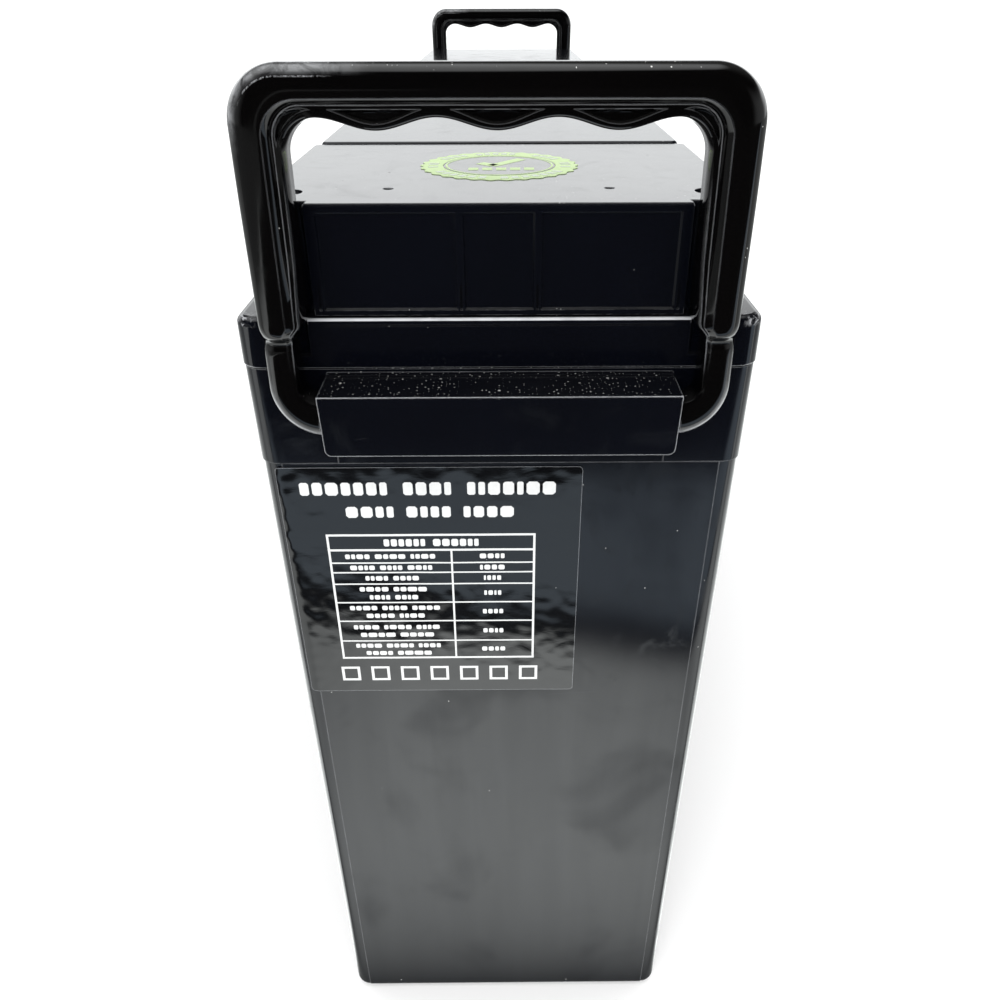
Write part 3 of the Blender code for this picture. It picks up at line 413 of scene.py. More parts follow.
def handle_sheen_and_wear(mat):
    """Painted highlights on the lower bends and round the pockets, and a grey top corner that is partly painted
    highlight and partly scuffs.
    """
    across, z = abs(mat.axis(0)), mat.axis(2)

    # painted highlight on the outside of the lower bends, brighter lower down
    bend_x, bend_z = LOWER_BEND
    reach = (across - bend_x * MM).hypot((z - bend_z * MM).min(0.0))
    band = reach.ramp_mm(10.0, 12.3) * z.ramp_mm(18.5, 15.0)
    band = band * z.ramp_mm(11.0, 1.0, to=(0.08, 0.5))
    patchy = mat.noise(scale=300.0, detail=4.0, rough=0.6)
    bend_highlight = band * patchy.ramp(0.3, 0.6, to=(0.55, 1.0))

    # the top corner towards -x is painted grey, partly as a highlight and partly as scuffs, with a thin pale nick
    x = mat.axis(0)
    out = (x + 42.6 * MM).min(0.0).hypot((z - 63.3 * MM).max(0.0))
    top_corner_sheen_and_scuff = out.ramp_mm(8.4, 10.2) * (x.ramp_mm(-22, -38) * z.ramp_mm(57, 65))
    patchy = mat.noise(scale=190.0, detail=6.0, rough=0.68, warp=0.9)
    top_corner_sheen_and_scuff = top_corner_sheen_and_scuff * patchy.ramp(0.36, 0.64, to=(0.22, 1.0)) * 0.34
    nick = abs(out - 8.5 * MM).ramp_mm(0.20, 0.08)
    nick = nick * (x.ramp_mm(-31, -36) * z.ramp_mm(66, 70))
    patchy = mat.noise(scale=1500.0, detail=4.0, rough=0.7)
    nick = nick * patchy.ramp(0.40, 0.62, to=(0.0, 0.35))
    top_corner_sheen_and_scuff = top_corner_sheen_and_scuff.max(nick)

    # a fine painted highlight line round each finger pocket along the top
    swing = (x * (2 * math.pi / (FINGER_PITCH * MM))).math("COSINE")
    low_rim = swing * (-POCKET_WAVE * MM) + POCKET_MID * MM
    inside = (z - low_rim).min(POCKET_TOP * MM - z)
    rim = abs(inside).ramp_mm(0.16, 0.06) * across.ramp_mm(34.2, 33.6)
    rim = rim * (POCKET_TOP * MM - low_rim).ramp_mm(-0.02, 0.06, to=(0.0, 0.05))

    # and painted highlight lines round the pockets in the corners
    def away(centre):
        return (across - centre[0] * MM).hypot(z - centre[1] * MM)
    corner = (5.6 * MM - away(FRAME_CORNER)).min(away(GRIP_CORNER) - 8.6 * MM)
    corner = abs(corner).ramp_mm(0.16, 0.06) * 0.05
    scuffs_and_sheen = bend_highlight.max(corner).max(top_corner_sheen_and_scuff.max(rim))

    # the painted edge highlights and wear stay on the frame's edges, not the web inside it
    frame_x, frame_z = FRAME_CORNER
    from_corner = (across - frame_x * MM).max(0.0).hypot((z - frame_z * MM).max(0.0))
    frame_only = from_corner.ramp_mm(5.7, 6.05).max(z.ramp_mm(54.0, 46.0))
    gain = z.ramp_mm(10.0, 16.0).max(reach.ramp_mm(7.5, 9.5))
    return scuffs_and_sheen, gain * frame_only


def cover_edge_highlights(mat):
    """Painted highlights on the top edges, and much fainter ones round the windows."""
    z = mat.axis(2)
    high = z.ramp_mm(COVER_Z - 0.9, COVER_Z - 0.4)
    low = z.ramp_mm(SHOULDER_Z + 2.2, SHOULDER_Z + 1.2, to=(0.0, 0.3))
    low = low * mat.noise(scale=300.0, detail=4.0, rough=0.7).ramp(0.4, 0.6)
    return None, high * 1.2 + low + 0.015


# ------------------------------------------------------------------ inner materials
def darker(colour, factor):
    return tuple(c * factor for c in colour)


def metal(name, colour, rough, streak, tarnish, dark=None):
    """Brushed metal: streak scales the grain on x, y and z; dark is the tarnished colour."""
    mat = Finish(name)
    grain = mat.noise(scale=1.0, detail=4.0, rough=0.6, place=mat.mapped(streak))
    blots = mat.noise(scale=90.0, detail=4.0, rough=0.6).ramp(0.45, 0.75)
    blend = mat.mix(blots * (tarnish * 3), colour, dark or darker(colour, 0.55))
    normal = mat.bump(grain, strength=0.12, depth=0.0002)
    return mat.finish(blend, grain * 0.22 + (rough - 0.08), normal, metallic=1.0)


def plastic(name, colour, rough, variation, grain, strength):
    mat = Finish(name)
    fine = mat.noise(scale=grain, detail=3.0)
    broad = mat.noise(scale=35.0, detail=3.0)
    blend = mat.mix(broad * variation, colour, darker(colour, 0.55))
    normal = mat.bump(fine, strength=strength, depth=0.0003)
    return mat.finish(blend, broad * 0.14 + (rough - 0.05), normal)


def foam():
    mat = Finish("foam_m")
    cells = mat.voronoi(900.0)["Distance"]
    colour = mat.mix(cells.ramp(0.1, 0.7), (0.012, 0.012, 0.014), (0.07, 0.07, 0.075))
    return mat.finish(colour, 0.92, mat.bump(cells, strength=0.6, depth=0.0006))


def glass_epoxy():
    mat = Finish("glass_epoxy_m")
    weave = mat.wave(900.0, direction="Y") * mat.wave(900.0, direction="Z")
    colour = mat.mix(weave, (0.36, 0.42, 0.14), (0.5, 0.56, 0.24))
    colour = mat.mix(mat.noise(scale=60.0, detail=4.0) * 0.35, colour, (0.3, 0.3, 0.1))
    return mat.finish(colour, 0.42, mat.bump(weave, strength=0.15, depth=0.0002))


def cell_wrap():
    mat = Finish("cell_wrap_m")
    wrinkle = mat.noise(scale=1.0, detail=4.0, rough=0.6, warp=0.8,
                        place=mat.mapped((30, 30, 90)))
    colour = mat.mix(wrinkle.ramp(0.3, 0.8), (0.012, 0.09, 0.38), (0.03, 0.17, 0.55))
    normal = mat.bump(wrinkle, strength=0.35, depth=0.0008)
    return mat.finish(colour, wrinkle * 0.2 + 0.15, normal)


def circuit_board():
    mat = Finish("circuit_board_m")
    tracks = mat.make("TexBrick", {
        "Vector": mat.mapped((260, 260, 260)), "Scale": 1.0, "Mortar Size": 0.05,
        "Color1": (0.01, 0.13, 0.05, 1), "Color2": (0.015, 0.17, 0.07, 1),
        "Mortar": (0.03, 0.3, 0.13, 1)})
    dots = mat.specks(scale=300.0, size=0.3, share=0.35)
    colour = mat.mix(dots, tracks["Color"], (0.7, 0.6, 0.35))
    return mat.finish(colour, 0.32, mat.bump(tracks["Fac"], strength=0.3, depth=0.0001))


def cable(name, colour):
    mat = Finish(name)
    grain = mat.noise(scale=1.0, detail=3.0, place=mat.mapped((900, 160, 900)))
    blend = mat.mix(grain * 0.6, colour, darker(colour, 0.4))
    return mat.finish(blend, grain * 0.2 + 0.35, mat.bump(grain, strength=0.2, depth=0.0003))


def band():
    mat = Finish("band_m")
    weave = mat.wave(420.0, direction="DIAGONAL") * mat.wave(420.0, direction="Z")
    colour = mat.mix(weave, (0.03, 0.16, 0.06), (0.08, 0.32, 0.14))
    return mat.finish(colour, 0.38, mat.bump(weave, strength=0.5, depth=0.0003))


def inner_materials():
    """The materials of the CAD pieces that are kept, by material slot."""
    return {
        "seal_rubber": plastic("seal_rubber_m", (0.03, 0.03, 0.032), rough=0.75,
                               variation=0.5, grain=1200, strength=0.25),
        "foam": foam(),
        "post_aluminium": metal("post_aluminium_m", (0.78, 0.79, 0.8), rough=0.3,
                                streak=(900, 900, 60), tarnish=0.15),
        "glass_epoxy": glass_epoxy(),
        "cell_wrap": cell_wrap(),
        "copper": metal("copper_m", (0.86, 0.52, 0.36), rough=0.28, streak=(700, 30, 30),
                        tarnish=0.25, dark=(0.42, 0.2, 0.12)),
        "tinned_lug": metal("tinned_lug_m", (0.76, 0.76, 0.74), rough=0.34,
                            streak=(60, 500, 60), tarnish=0.2),
        "heatsink_aluminium": metal("heatsink_aluminium_m", (0.74, 0.76, 0.79), rough=0.36,
                                    streak=(800, 20, 800), tarnish=0.1),
        "circuit_board": circuit_board(),
        "device_black": plastic("device_black_m", (0.02, 0.02, 0.022), rough=0.55,
                                variation=0.4, grain=2000, strength=0.2),
        "nylon_white": plastic("nylon_white_m", (0.78, 0.77, 0.7), rough=0.45,
                               variation=0.3, grain=500, strength=0.1),
        "cable_red": cable("cable_red_m", (0.5, 0.02, 0.015)),
        "cable_black": cable("cable_black_m", (0.018, 0.018, 0.02)),
        "band": band(),
        "brass": metal("brass_m", (0.83, 0.66, 0.32), rough=0.26, streak=(80, 80, 900),
                       tarnish=0.2, dark=(0.42, 0.27, 0.1)),
        "zinc_steel": metal("zinc_steel_m", (0.6, 0.61, 0.63), rough=0.36,
                            streak=(300, 300, 300), tarnish=0.25, dark=(0.34, 0.33, 0.28)),
    }


# ------------------------------------------------------------------ label and sticker materials
def label_film():
    """Gloss black film, crinkled and bubbled."""
    mat = Finish("label_film_m")
    broad = mat.noise(scale=1.0, detail=2.0, rough=0.45, warp=0.6,
                      place=mat.mapped((16, 16, 26)))
    fine = mat.noise(scale=1.0, detail=3.0, rough=0.6, warp=0.8,
                     place=mat.mapped((110, 110, 220)))
    specks = mat.specks(scale=260.0, size=0.08, share=0.08)
    colour = mat.mix(broad, (0.001, 0.001, 0.0013), (0.004, 0.0045, 0.0055))
    # painted glints along the film's edges
    colour = mat.mix(mat.edges(0.0003) * 0.6, colour, (0.35, 0.36, 0.38))
    colour = mat.mix(specks * 0.8, colour, (0.6, 0.6, 0.6))
    normal = mat.bump(broad * 1.0 + fine * 0.05, strength=0.22, depth=0.0018)
    return mat.finish(colour, fine * 0.05 + 0.04, normal, ior=1.55)


def print_ink(name, first, second, *, grain, detail, spread, gloss, relief, depth=0.0003,
              ior=None):
    """Two close colours mixed by fine grain; spread and gloss set the roughness."""
    mat = Finish(name)
    fine = mat.noise(scale=grain, detail=detail)
    normal = mat.bump(fine, strength=relief, depth=depth)
    return mat.finish(mat.mix(fine, first, second), fine * spread + gloss, normal, ior=ior)


# ------------------------------------------------------------------ outlines
# x sign, y sign and start angle of the four corners of a rounded rectangle
CORNERS = ((1, 1, 0), (-1, 1, 90), (-1, -1, 180), (1, -1, 270))


def arc(centre_x, centre_y, radius, start, end, steps):
    """Points along an arc, angles in degrees."""
    points = []
    for k in range(steps + 1):
        angle = math.radians(start + (end - start) * k / steps)
        points.append((centre_x + radius * math.cos(angle), centre_y + radius * math.sin(angle)))
    return points


def at_height(points, z):
    return [(x, y, z) for x, y in points]


def quarter(steps, first=1):
    """(1 - cos, sin) at each step of a quarter turn."""
    angles = [math.radians(90 * k / steps) for k in range(first, steps + 1)]
    return [(1 - math.cos(angle), math.sin(angle)) for angle in angles]


def rounded_rect(hw, hl, radius, z, steps=8, centre_y=0.0):
    points = []
    for sx, sy, start in CORNERS:
        points += arc(sx * (hw - radius), centre_y + sy * (hl - radius), radius,
                      start, start + 90, steps)
    return at_height(points, z)


def smooth_step(start, end, value):
    t = min(max((value - start) / (end - start), 0.0), 1.0)
    return t * t * (3 - 2 * t)


# ------------------------------------------------------------------ mesh helpers
CUT, JOIN = "DIFFERENCE", "UNION"
REPLACED = set()  # CAD pieces that a built piece stands in for


def add_object(name, data):
    ob = bpy.data.objects.new(name, data)
    bpy.context.scene.collection.objects.link(ob)
    return ob


def smooth_shade(ob, angle):
    ob.data.shade_smooth()
    ob.data.set_sharp_from_angle(angle=math.radians(angle))


def mesh_piece(name, verts, faces, material=None, smooth=0, slots=None):
    """smooth is the angle above which edges stay sharp, or 0 for flat faces."""
    mesh = bpy.data.meshes.new(name)
    mesh.from_pydata([tuple(c * MM for c in v) for v in verts], [], faces)
    if slots is not None:
        mesh.polygons.foreach_set("material_index", slots)
    bm = bmesh.new()
    bm.from_mesh(mesh)
    bmesh.ops.remove_doubles(bm, verts=bm.verts, dist=2e-6)
    bmesh.ops.recalc_face_normals(bm, faces=bm.faces)
    bm.to_mesh(mesh)
    bm.free()
    ob = add_object(name, mesh)
    if material:
        mesh.materials.append(material)
    if smooth:
        smooth_shade(ob, smooth)
    return ob


def loft(rings, closed=False):
    """Skins the rings in turn: a closed loop of rings, or a solid with capped ends."""
    n = len(rings[0])
    verts = [point for ring in rings for point in ring]
    faces = []
    for k in range(len(rings) if closed else len(rings) - 1):
        q = (k + 1) % len(rings)
        for i in range(n):
            j = (i + 1) % n
            faces.append((k * n + i, k * n + j, q * n + j, q * n + i))
    if not closed:
        faces.append(tuple(reversed(range(n))))
        faces.append(tuple((len(rings) - 1) * n + i for i in range(n)))
    return verts, faces


def box_tool(x_ends, y_ends, z_ends):
    (x0, x1), (y0, y1) = sorted(x_ends), sorted(y_ends)
    verts = [(x, y, z) for z in z_ends for x, y in ((x0, y0), (x1, y0), (x1, y1), (x0, y1))]
    faces = [(3, 2, 1, 0), (4, 5, 6, 7), (0, 1, 5, 4), (1, 2, 6, 5), (2, 3, 7, 6), (3, 0, 4, 7)]
    return mesh_piece("tmp_cut", verts, faces)


def loft_tool(rings):
    return mesh_piece("tmp_cut", *loft(rings))


def turned_rings(profile, steps, centre, axis="Z"):
    """Circles along an axis from a profile of (distance along it, radius)."""
    rings = []
    for shift, radius in profile:
        ring = []
        for k in range(steps):
            angle = 2 * math.pi * k / steps
            u, w = radius * math.cos(angle), radius * math.sin(angle)
            offset = (u, w, shift) if axis == "Z" else (shift, u, w)
            ring.append(tuple(c + d for c, d in zip(centre, offset)))
        rings.append(ring)
    return rings


def turned_tool(profile, steps, centre, axis="Z"):
    return loft_tool(turned_rings(profile, steps, centre, axis))


def combine(ob, jobs):
    """Applies booleans, given as (tool object, operation), and removes the tools."""
    for k, (tool, operation) in enumerate(jobs):
        modifier = ob.modifiers.new(f"b{k}", "BOOLEAN")
        modifier.operation = operation
        modifier.object = tool
        modifier.solver = "EXACT"
    depsgraph = bpy.context.evaluated_depsgraph_get()
    depsgraph.update()
    mesh = bpy.data.meshes.new_from_object(ob.evaluated_get(depsgraph))
    ob.modifiers.clear()
    old = ob.data
    ob.data = mesh
    mesh.name = ob.name
    for tool, _ in jobs:
        bpy.data.objects.remove(tool, do_unlink=True)
    if old.users == 0:
        bpy.data.meshes.remove(old)


def paint(ob, material):
    """Leaves the object with this one material."""
    ob.data.materials.clear()
    ob.data.materials.append(material)


def soften(ob, width):
    """Joins split faces and rounds the edges with a live bevel."""
    bm = bmesh.new()
    bm.from_mesh(ob.data)
    bmesh.ops.remove_doubles(bm, verts=bm.verts, dist=3e-6)
    bmesh.ops.dissolve_limit(bm, angle_limit=math.radians(0.4), verts=bm.verts, edges=bm.edges)
    bm.to_mesh(ob.data)
    bm.free()
    ob.data.shade_smooth()
    bevel = ob.modifiers.new("bevel", "BEVEL")
    bevel.width = width * MM
    bevel.segments = 2
    bevel.limit_method = "ANGLE"
    bevel.angle_limit = math.radians(32)
    bevel.use_clamp_overlap = True
    bevel.harden_normals = False
    normals = ob.modifiers.new("normals", "WEIGHTED_NORMAL")
    normals.keep_sharp = True
    normals.weight = 60


def register(ob, node=None, body="battery"):
    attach(ob, body)
    if node:
        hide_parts(node)
        REPLACED.add(node)


def finish_shell(ob, jobs, material, bevel, node):
    combine(ob, jobs)
    paint(ob, material)
    soften(ob, bevel)
    register(ob, node)


class Prints:
    """Gathers thin flat shapes into one mesh. place(x, y, layer) gives a point in space."""

    def __init__(self, place, layers, y_down=False):
        self.place = place
        self.layers = layers
        self.y_down = y_down
        self.verts = []
        self.faces = []

    def add(self, outline):
        base, n = len(self.verts), len(outline)
        for layer in self.layers:
            self.verts.extend(self.place(x, y, layer) for x, y in outline)
        low = tuple(range(base, base + n))
        high = tuple(range(base + n, base + 2 * n))
        self.faces += [low, high[::-1]] if self.y_down else [low[::-1], high]
        for k in range(n):
            q = (k + 1) % n
            if self.y_down:
                self.faces.append((low[k], high[k], high[q], low[q]))
            else:
                self.faces.append((low[k], low[q], high[q], high[k]))

    def add_box(self, x0, x1, y0, y1):
        self.add([(x0, y0), (x1, y0), (x1, y1), (x0, y1)])

    def build(self, name, material):
        ob = mesh_piece(name, self.verts, self.faces, material)
        register(ob)


# ------------------------------------------------------------------ case
FOOT_R = 3.2   # rounding under the case
PANEL = 0.22   # how far the flat end faces stand proud of the corners

# inside of the case, from the rim down: half width, half length, corner radius, z
CASE_INSIDE = (
    (59.6, 274.6, 3.6, SKIRT_Z - 0.4),
    (59.6, 274.6, 3.6, 278.0),
    (57.3, 272.3, 2.4, 278.0),
    (57.3, 272.3, 2.4, 262.0),
    (58.2, 273.8, 2.5, 240.0),
    (56.0, 271.8, 2.5, 4.0),
)


def case_outline(hw, hl, radius, z, panel):
    points = []
    for sx, sy, start in CORNERS:
        corner = arc(sx * (hw - radius), sy * (hl - panel - radius), radius,
                     start, start + 90, 9)
        x = hw - radius - 0.15
        edge = [(sx * x, sy * (hl - panel)), (sx * (x - 0.12), sy * hl)]
        points += corner + edge if sx * sy > 0 else edge[::-1] + corner
    return at_height(points, z)


def case_rings():
    def ring(z, inset, radius=CORNER_R, panel=PANEL, sized_at=None):
        """An outline inset from the tapering case; sized_at is the z its size is taken at."""
        size_z = z if sized_at is None else sized_at
        return case_outline(case_hw(size_z) - inset, case_hl(size_z) - inset, radius, z, panel)

    rings = [ring(0.0, STEP + FOOT_R, radius=2.3)]
    for drop, rise in quarter(6):
        inset = FOOT_R * (1 - rise)
        rings.append(ring(FOOT_R * drop, STEP + inset, radius=CORNER_R - inset))
    for z in (40, 80, 120, 160, 200, COLLAR_Z - 0.35):
        rings.append(ring(z, STEP))
    rings.append(ring(COLLAR_Z - 0.15, STEP + 0.12, panel=0.0, sized_at=COLLAR_Z))
    rings.append(ring(COLLAR_Z, 0.1, panel=0.0))
    rings.append(ring(COLLAR_Z + 0.12, 0.0, panel=0.0, sized_at=COLLAR_Z))
    rings.append(ring(SKIRT_Z - 0.4, 0.0, panel=0.0))
    return rings + [case_outline(*row, 0.0) for row in CASE_INSIDE]


def hinge_box(side):
    """The box on one end, with small radii above and large ones below."""
    rings = []
    for y, inset in ((END - 1.6, 0.0), (BOX_FACE - 0.45, 0.0),
                     (BOX_FACE - 0.14, 0.12), (BOX_FACE, 0.42)):
        points = []
        for sx, sz, start in CORNERS:
            if sz > 0:
                radius, hw = 0.45, BOX_HW - inset
                centre_z = BOX_Z1 - inset - radius
            else:
                radius, hw = 1.6, BOX_HW - 0.5 - inset
                centre_z = BOX_Z0 + inset + radius
            points += arc(sx * (hw - radius), centre_z, radius, start, start + 90, 5)
        rings.append([(x, side * y, z) for x, z in points])
    return loft_tool(rings)


def build_case(material):
    ob = mesh_piece("case_shell", *loft(case_rings()), material)
    jobs = []
    for side in (-1, 1):
        # the raised collar stops either side of the hinge box
        gap = (side * (case_hl(COLLAR_Z) - STEP + 0.02), side * (END + 6))
        jobs.append((box_tool((-41.5, 41.5), gap, (COLLAR_Z - 0.4, BOX_Z0 + 2)), CUT))
        jobs.append((hinge_box(side), JOIN))
        # the box is hollow and open below
        hollow = (side * (END + 0.9), side * (BOX_FACE - 2.6))
        jobs.append((box_tool((-39, 39), hollow, (BOX_Z0 - 3, BOX_Z1 - 2.6)), CUT))
        for sx in (-1, 1):
            pivot = (sx * 41.0, side * PIVOT_Y, PIVOT_Z)
            jobs.append((turned_tool([(-5, 4.05), (5, 4.05)], 40, pivot, "X"), CUT))
    finish_shell(ob, jobs, material, 0.22, "case")


# ------------------------------------------------------------------ lid
SHOULDER_R = 2.1
DECK_R = 1.1


def end_block(side):
    """The square-edged block between the two handle legs, at one end."""
    outline = [(END - 7, 274.2), (END, 274.2)]
    outline += arc(END - 0.5, SHOULDER_Z - 0.5, 0.5, 0, 90, 3)
    outline += [(END - 7, SHOULDER_Z)]
    return loft_tool([[(x, side * y, z) for y, z in outline] for x in (-BLOCK_HW, BLOCK_HW)])


def lid_end_jobs(side):
    groove = (side * (END - 0.28), side * (END + 2))
    jobs = [(box_tool((-40.6, 40.6), groove, (SHOULDER_Z - 1.8, SHOULDER_Z - 1.5)), CUT)]
    for sx in (-1, 1):
        # channel in the skirt beside the block
        jobs.append((box_tool((sx * BLOCK_HW, sx * CHANNEL_OUT),
                              (side * (END - 1.9), side * (END + 4)),
                              (SKIRT_Z + 3.0, 284.0)), CUT))
        if side > 0:
            # notch in the rear corner of the deck
            jobs.append((box_tool((sx * CHANNEL_IN, sx * 58.0),
                                  (side * (END - SETBACK), side * (END + 4)),
                                  (SHOULDER_Z + 0.01, 312.0)), CUT))
    return jobs


def build_lid(material):
    rings = [
        rounded_rect(57.6, 272.6, 2.6, 279.4),
        rounded_rect(59.9, 274.9, 3.9, 279.4),
        rounded_rect(59.9, 274.9, 3.9, SKIRT_Z),
        rounded_rect(SKIRT_HW - 0.12, END - 0.12, CORNER_R, SKIRT_Z),
        rounded_rect(SKIRT_HW, END, CORNER_R, SKIRT_Z + 0.25),
    ]
    for drop, rise in quarter(7, first=0):
        inset = SHOULDER_R * drop
        rings.append(rounded_rect(SKIRT_HW - 0.1 - inset, END - inset, CORNER_R - inset,
                                  SHOULDER_Z - SHOULDER_R + SHOULDER_R * rise))
    ob = mesh_piece("lid_shell", *loft(rings), material)

    deck_y, deck_hl = (DECK_Y0 + DECK_Y1) / 2, (DECK_Y1 - DECK_Y0) / 2
    rings = [rounded_rect(DECK_HW, deck_hl, 2.2, z, 6, deck_y) for z in (280.2, DECK_Z - DECK_R)]
    for drop, rise in quarter(5):
        inset = DECK_R * drop
        rings.append(rounded_rect(DECK_HW - inset, deck_hl - inset, 2.2 - inset,
                                  DECK_Z - DECK_R + DECK_R * rise, 6, deck_y))
    jobs = [(loft_tool(rings), JOIN)]
    for side in (-1, 1):
        jobs.append((end_block(side), JOIN))
    hollow = [rounded_rect(DECK_HW - 2.6, deck_hl - 3.7, 1.5, z, 4, deck_y - 0.9)
              for z in (270.0, DECK_Z - 2.6)]
    jobs.append((loft_tool(hollow), CUT))
    for side in (-1, 1):
        jobs += lid_end_jobs(side)
    for sx in (-1, 1):
        # hole for the terminal post, then a bored pillar under the cover screw
        post = (sx * POST_X, POST_Y, 281.0)
        jobs.append((turned_tool([(-6, 6.4), (6, 6.4)], 32, post), CUT))
        pillar = (sx * SCREW_X, SCREW_Y, 281.0)
        jobs.append((turned_tool([(0, 3.8), (21.9, 3.6)], 24, pillar), JOIN))
        bore = (sx * SCREW_X, SCREW_Y, 284.0)
        jobs.append((turned_tool([(0, 1.9), (30, 1.9)], 20, bore), CUT))
    finish_shell(ob, jobs, material, 0.25, "lid")


# ------------------------------------------------------------------ terminal cover
WINDOWS = ((-40.5, -9.6), (-8.0, 8.0), (9.6, 40.5))  # x of the recesses in the front
SLITS = (-41.4, -8.8, 8.8, 41.4)                     # x of the slits beside them
COVER_ROUND = 0.7


def cover_outline(inset, z):
    """A wide plate whose middle stands further forward than its ends."""
    front, shoulder, rear = COVER_Y0 + inset, -END + SETBACK + inset, COVER_Y1 - inset
    neck, hw = CHANNEL_IN - inset, COVER_HW - inset
    r = 1.2
    points = [(-neck, front), (neck, front), (neck, shoulder)]
    points += arc(hw - r, shoulder + r, r, -90, 0, 4)
    points += arc(hw - r, rear - r, r, 0, 90, 4)
    points += arc(-hw + r, rear - r, r, 90, 180, 4)
    points += arc(-hw + r, shoulder + r, r, 180, 270, 4)
    points += [(-neck, shoulder)]
    return at_height(points, z)


def build_cover(material):
    rings = [cover_outline(0.0, z) for z in (SHOULDER_Z + 0.3, COVER_Z - COVER_ROUND)]
    for drop, rise in quarter(4):
        rings.append(cover_outline(0.55 * drop, COVER_Z - COVER_ROUND + COVER_ROUND * rise))
    ob = mesh_piece("terminal_cover_shell", *loft(rings), material)
    jobs = [(loft_tool([cover_outline(2.4, z) for z in (276.0, COVER_Z - 2.5)]), CUT)]
    y, z0, z1 = COVER_Y0, SHOULDER_Z + 1.5, COVER_Z - 1.9
    for x0, x1 in WINDOWS:
        rings = []
        for ring_y, shrink in ((y - 1.0, 0.0), (y - 0.001, 0.0), (y + 0.75, 0.35)):
            left, right = x0 + shrink, x1 - shrink
            low, high = z0 + shrink, z1 - shrink
            corners = ((left, low), (right, low), (right, high), (left, high))
            rings.append([(x, ring_y, z) for x, z in corners])
        jobs.append((loft_tool(rings), CUT))
    for x in SLITS:
        jobs.append((box_tool((x - 0.3, x + 0.3), (y - 1, y + 0.9), (z0, z0 + 5.8)), CUT))
    for sx in (-1, 1):
        # small hole over the terminal post, then the recess of the cover screw
        jobs.append((turned_tool([(0, 1.1), (4.0, 1.1), (4.3, 1.5), (8, 1.5)], 24,
                                 (sx * POST_X, POST_Y, COVER_Z - 4.2)), CUT))
        jobs.append((turned_tool([(0, 2.3), (2.4, 2.3), (2.5, 3.75), (8, 3.75)], 40,
                                 (sx * SCREW_X, SCREW_Y, COVER_Z - 4.5)), CUT))
    finish_shell(ob, jobs, material, 0.2, "terminal_cover")


# screw, tip to crown: height from the underside of the head, radius
SCREW_PROFILE = (
    (-15, 0.7), (-14, 1.6), (-0.4, 1.6), (0, 1.9), (0.0, 3.2), (0.35, 3.35),
    (0.7, 3.3), (1.0, 3.0), (1.3, 2.3), (1.42, 1.2),
)


def build_screw(node, material, sx):
    x, y, z = sx * SCREW_X, SCREW_Y, COVER_Z - 1.9
    rings = turned_rings(SCREW_PROFILE, 40, (x, y, z))
    ob = mesh_piece(node + "_head", *loft(rings), material, 40)
    # cross slot
    jobs = [(box_tool((x - a, x + a), (y - b, y + b), (z + 0.4, z + 3)), CUT)
            for a, b in ((1.9, 0.33), (0.33, 1.9))]
    combine(ob, jobs)
    paint(ob, material)
    smooth_shade(ob, 35)
    register(ob, node)


# ------------------------------------------------------------------ handle
# One cross-section. outer, rim and inner are (x, z) points on the outside, where the thick
# frame ends, and where the web inside it ends. depth is the half depth in y, flat the half
# width of the flat outside, crown the width of its rounding, and bevel_width and bevel_depth
# the step from frame to web. pocket is positive for a finger pocket in the top bar, negative
# for one in a corner.
Station = namedtuple(
    "Station", "outer rim inner depth flat crown bevel_width bevel_depth pocket")

WEB_STEPS = 18
# face strip at the start of the web, which takes the satin material down to SATIN_Z; its lighter base colour is a
# painted sheen
SATIN_STRIP = 12
SATIN_Z = 23.5
GRIP_DEPTH, GRIP_FLAT = 6.75, 1.7
POCKET_DEPTH = 1.3

# leg narrowing down to its foot: z, outer x, inner x, half depth
LEG_NECK = (
    (22.2, 53.6, 43.9, 6.75), (21.4, 53.5, 44.6, 6.7), (20.8, 53.3, 45.2, 6.6),
    (20.3, 53.1, 45.6, 6.35), (19.9, 52.95, 45.85, 5.9), (19.5, 52.82, 46.05, 5.3),
    (19.1, 52.76, 46.15, 4.75), (18.7, 52.75, 46.2, 4.4), (18.3, 52.76, 46.25, 4.22),
    (17.9, 52.85, 46.3, 4.2), (17.4, 53.0, 46.3, 4.35), (16.8, 53.12, 46.3, 4.47),
    (15.6, 53.2, 46.3, 4.5), (13.0, 53.2, 46.3, 4.5), (10.0, 53.2, 46.3, 4.5),
    (8.0, 53.2, 46.3, 4.5),
)


def grip_z(x):
    """Wavy underside of the top bar."""
    return 63.25 - 1.2 * math.cos(2 * math.pi * x / FINGER_PITCH)


def pocket_z(x):
    """Lower rim of the finger pockets."""
    return POCKET_MID - POCKET_WAVE * math.cos(2 * math.pi * x / FINGER_PITCH)


def on_arc(centre, radius_x, radius_z, angle):
    return centre[0] + radius_x * math.cos(angle), centre[1] + radius_z * math.sin(angle)


def top_stations():
    """The top bar from the middle outwards, then the top corner."""
    radius, rim_r = 11.3, 6.1
    centre = (HANDLE_HW - radius, HANDLE_TOP - radius)
    stations = []
    steps = 72
    for k in range(steps):
        t = k / steps
        x = GRIP_CORNER[0] * t
        stations.append(Station(
            (centre[0] * t, HANDLE_TOP), (FRAME_CORNER[0] * t, FRAME_CORNER[1] + rim_r),
            (x, grip_z(x)), GRIP_DEPTH, GRIP_FLAT, 2.9, 1.1, 2.0, 1.0))
    steps = 26
    for k in range(steps + 1):
        angle = math.radians(90 - 90 * k / steps)
        t = k / steps
        s = smooth_step(0, 1, t)
        stations.append(Station(
            on_arc(centre, radius, radius, angle), on_arc(FRAME_CORNER, rim_r, rim_r, angle),
            on_arc(GRIP_CORNER, 7.3, 7.1, angle), GRIP_DEPTH, GRIP_FLAT,
            2.9 + 2.1 * s, 1.1 + 0.4 * s, 2.0 + 0.9 * s,
            -math.sin(math.pi * min(max(t, 0.02), 0.98))))
    return stations


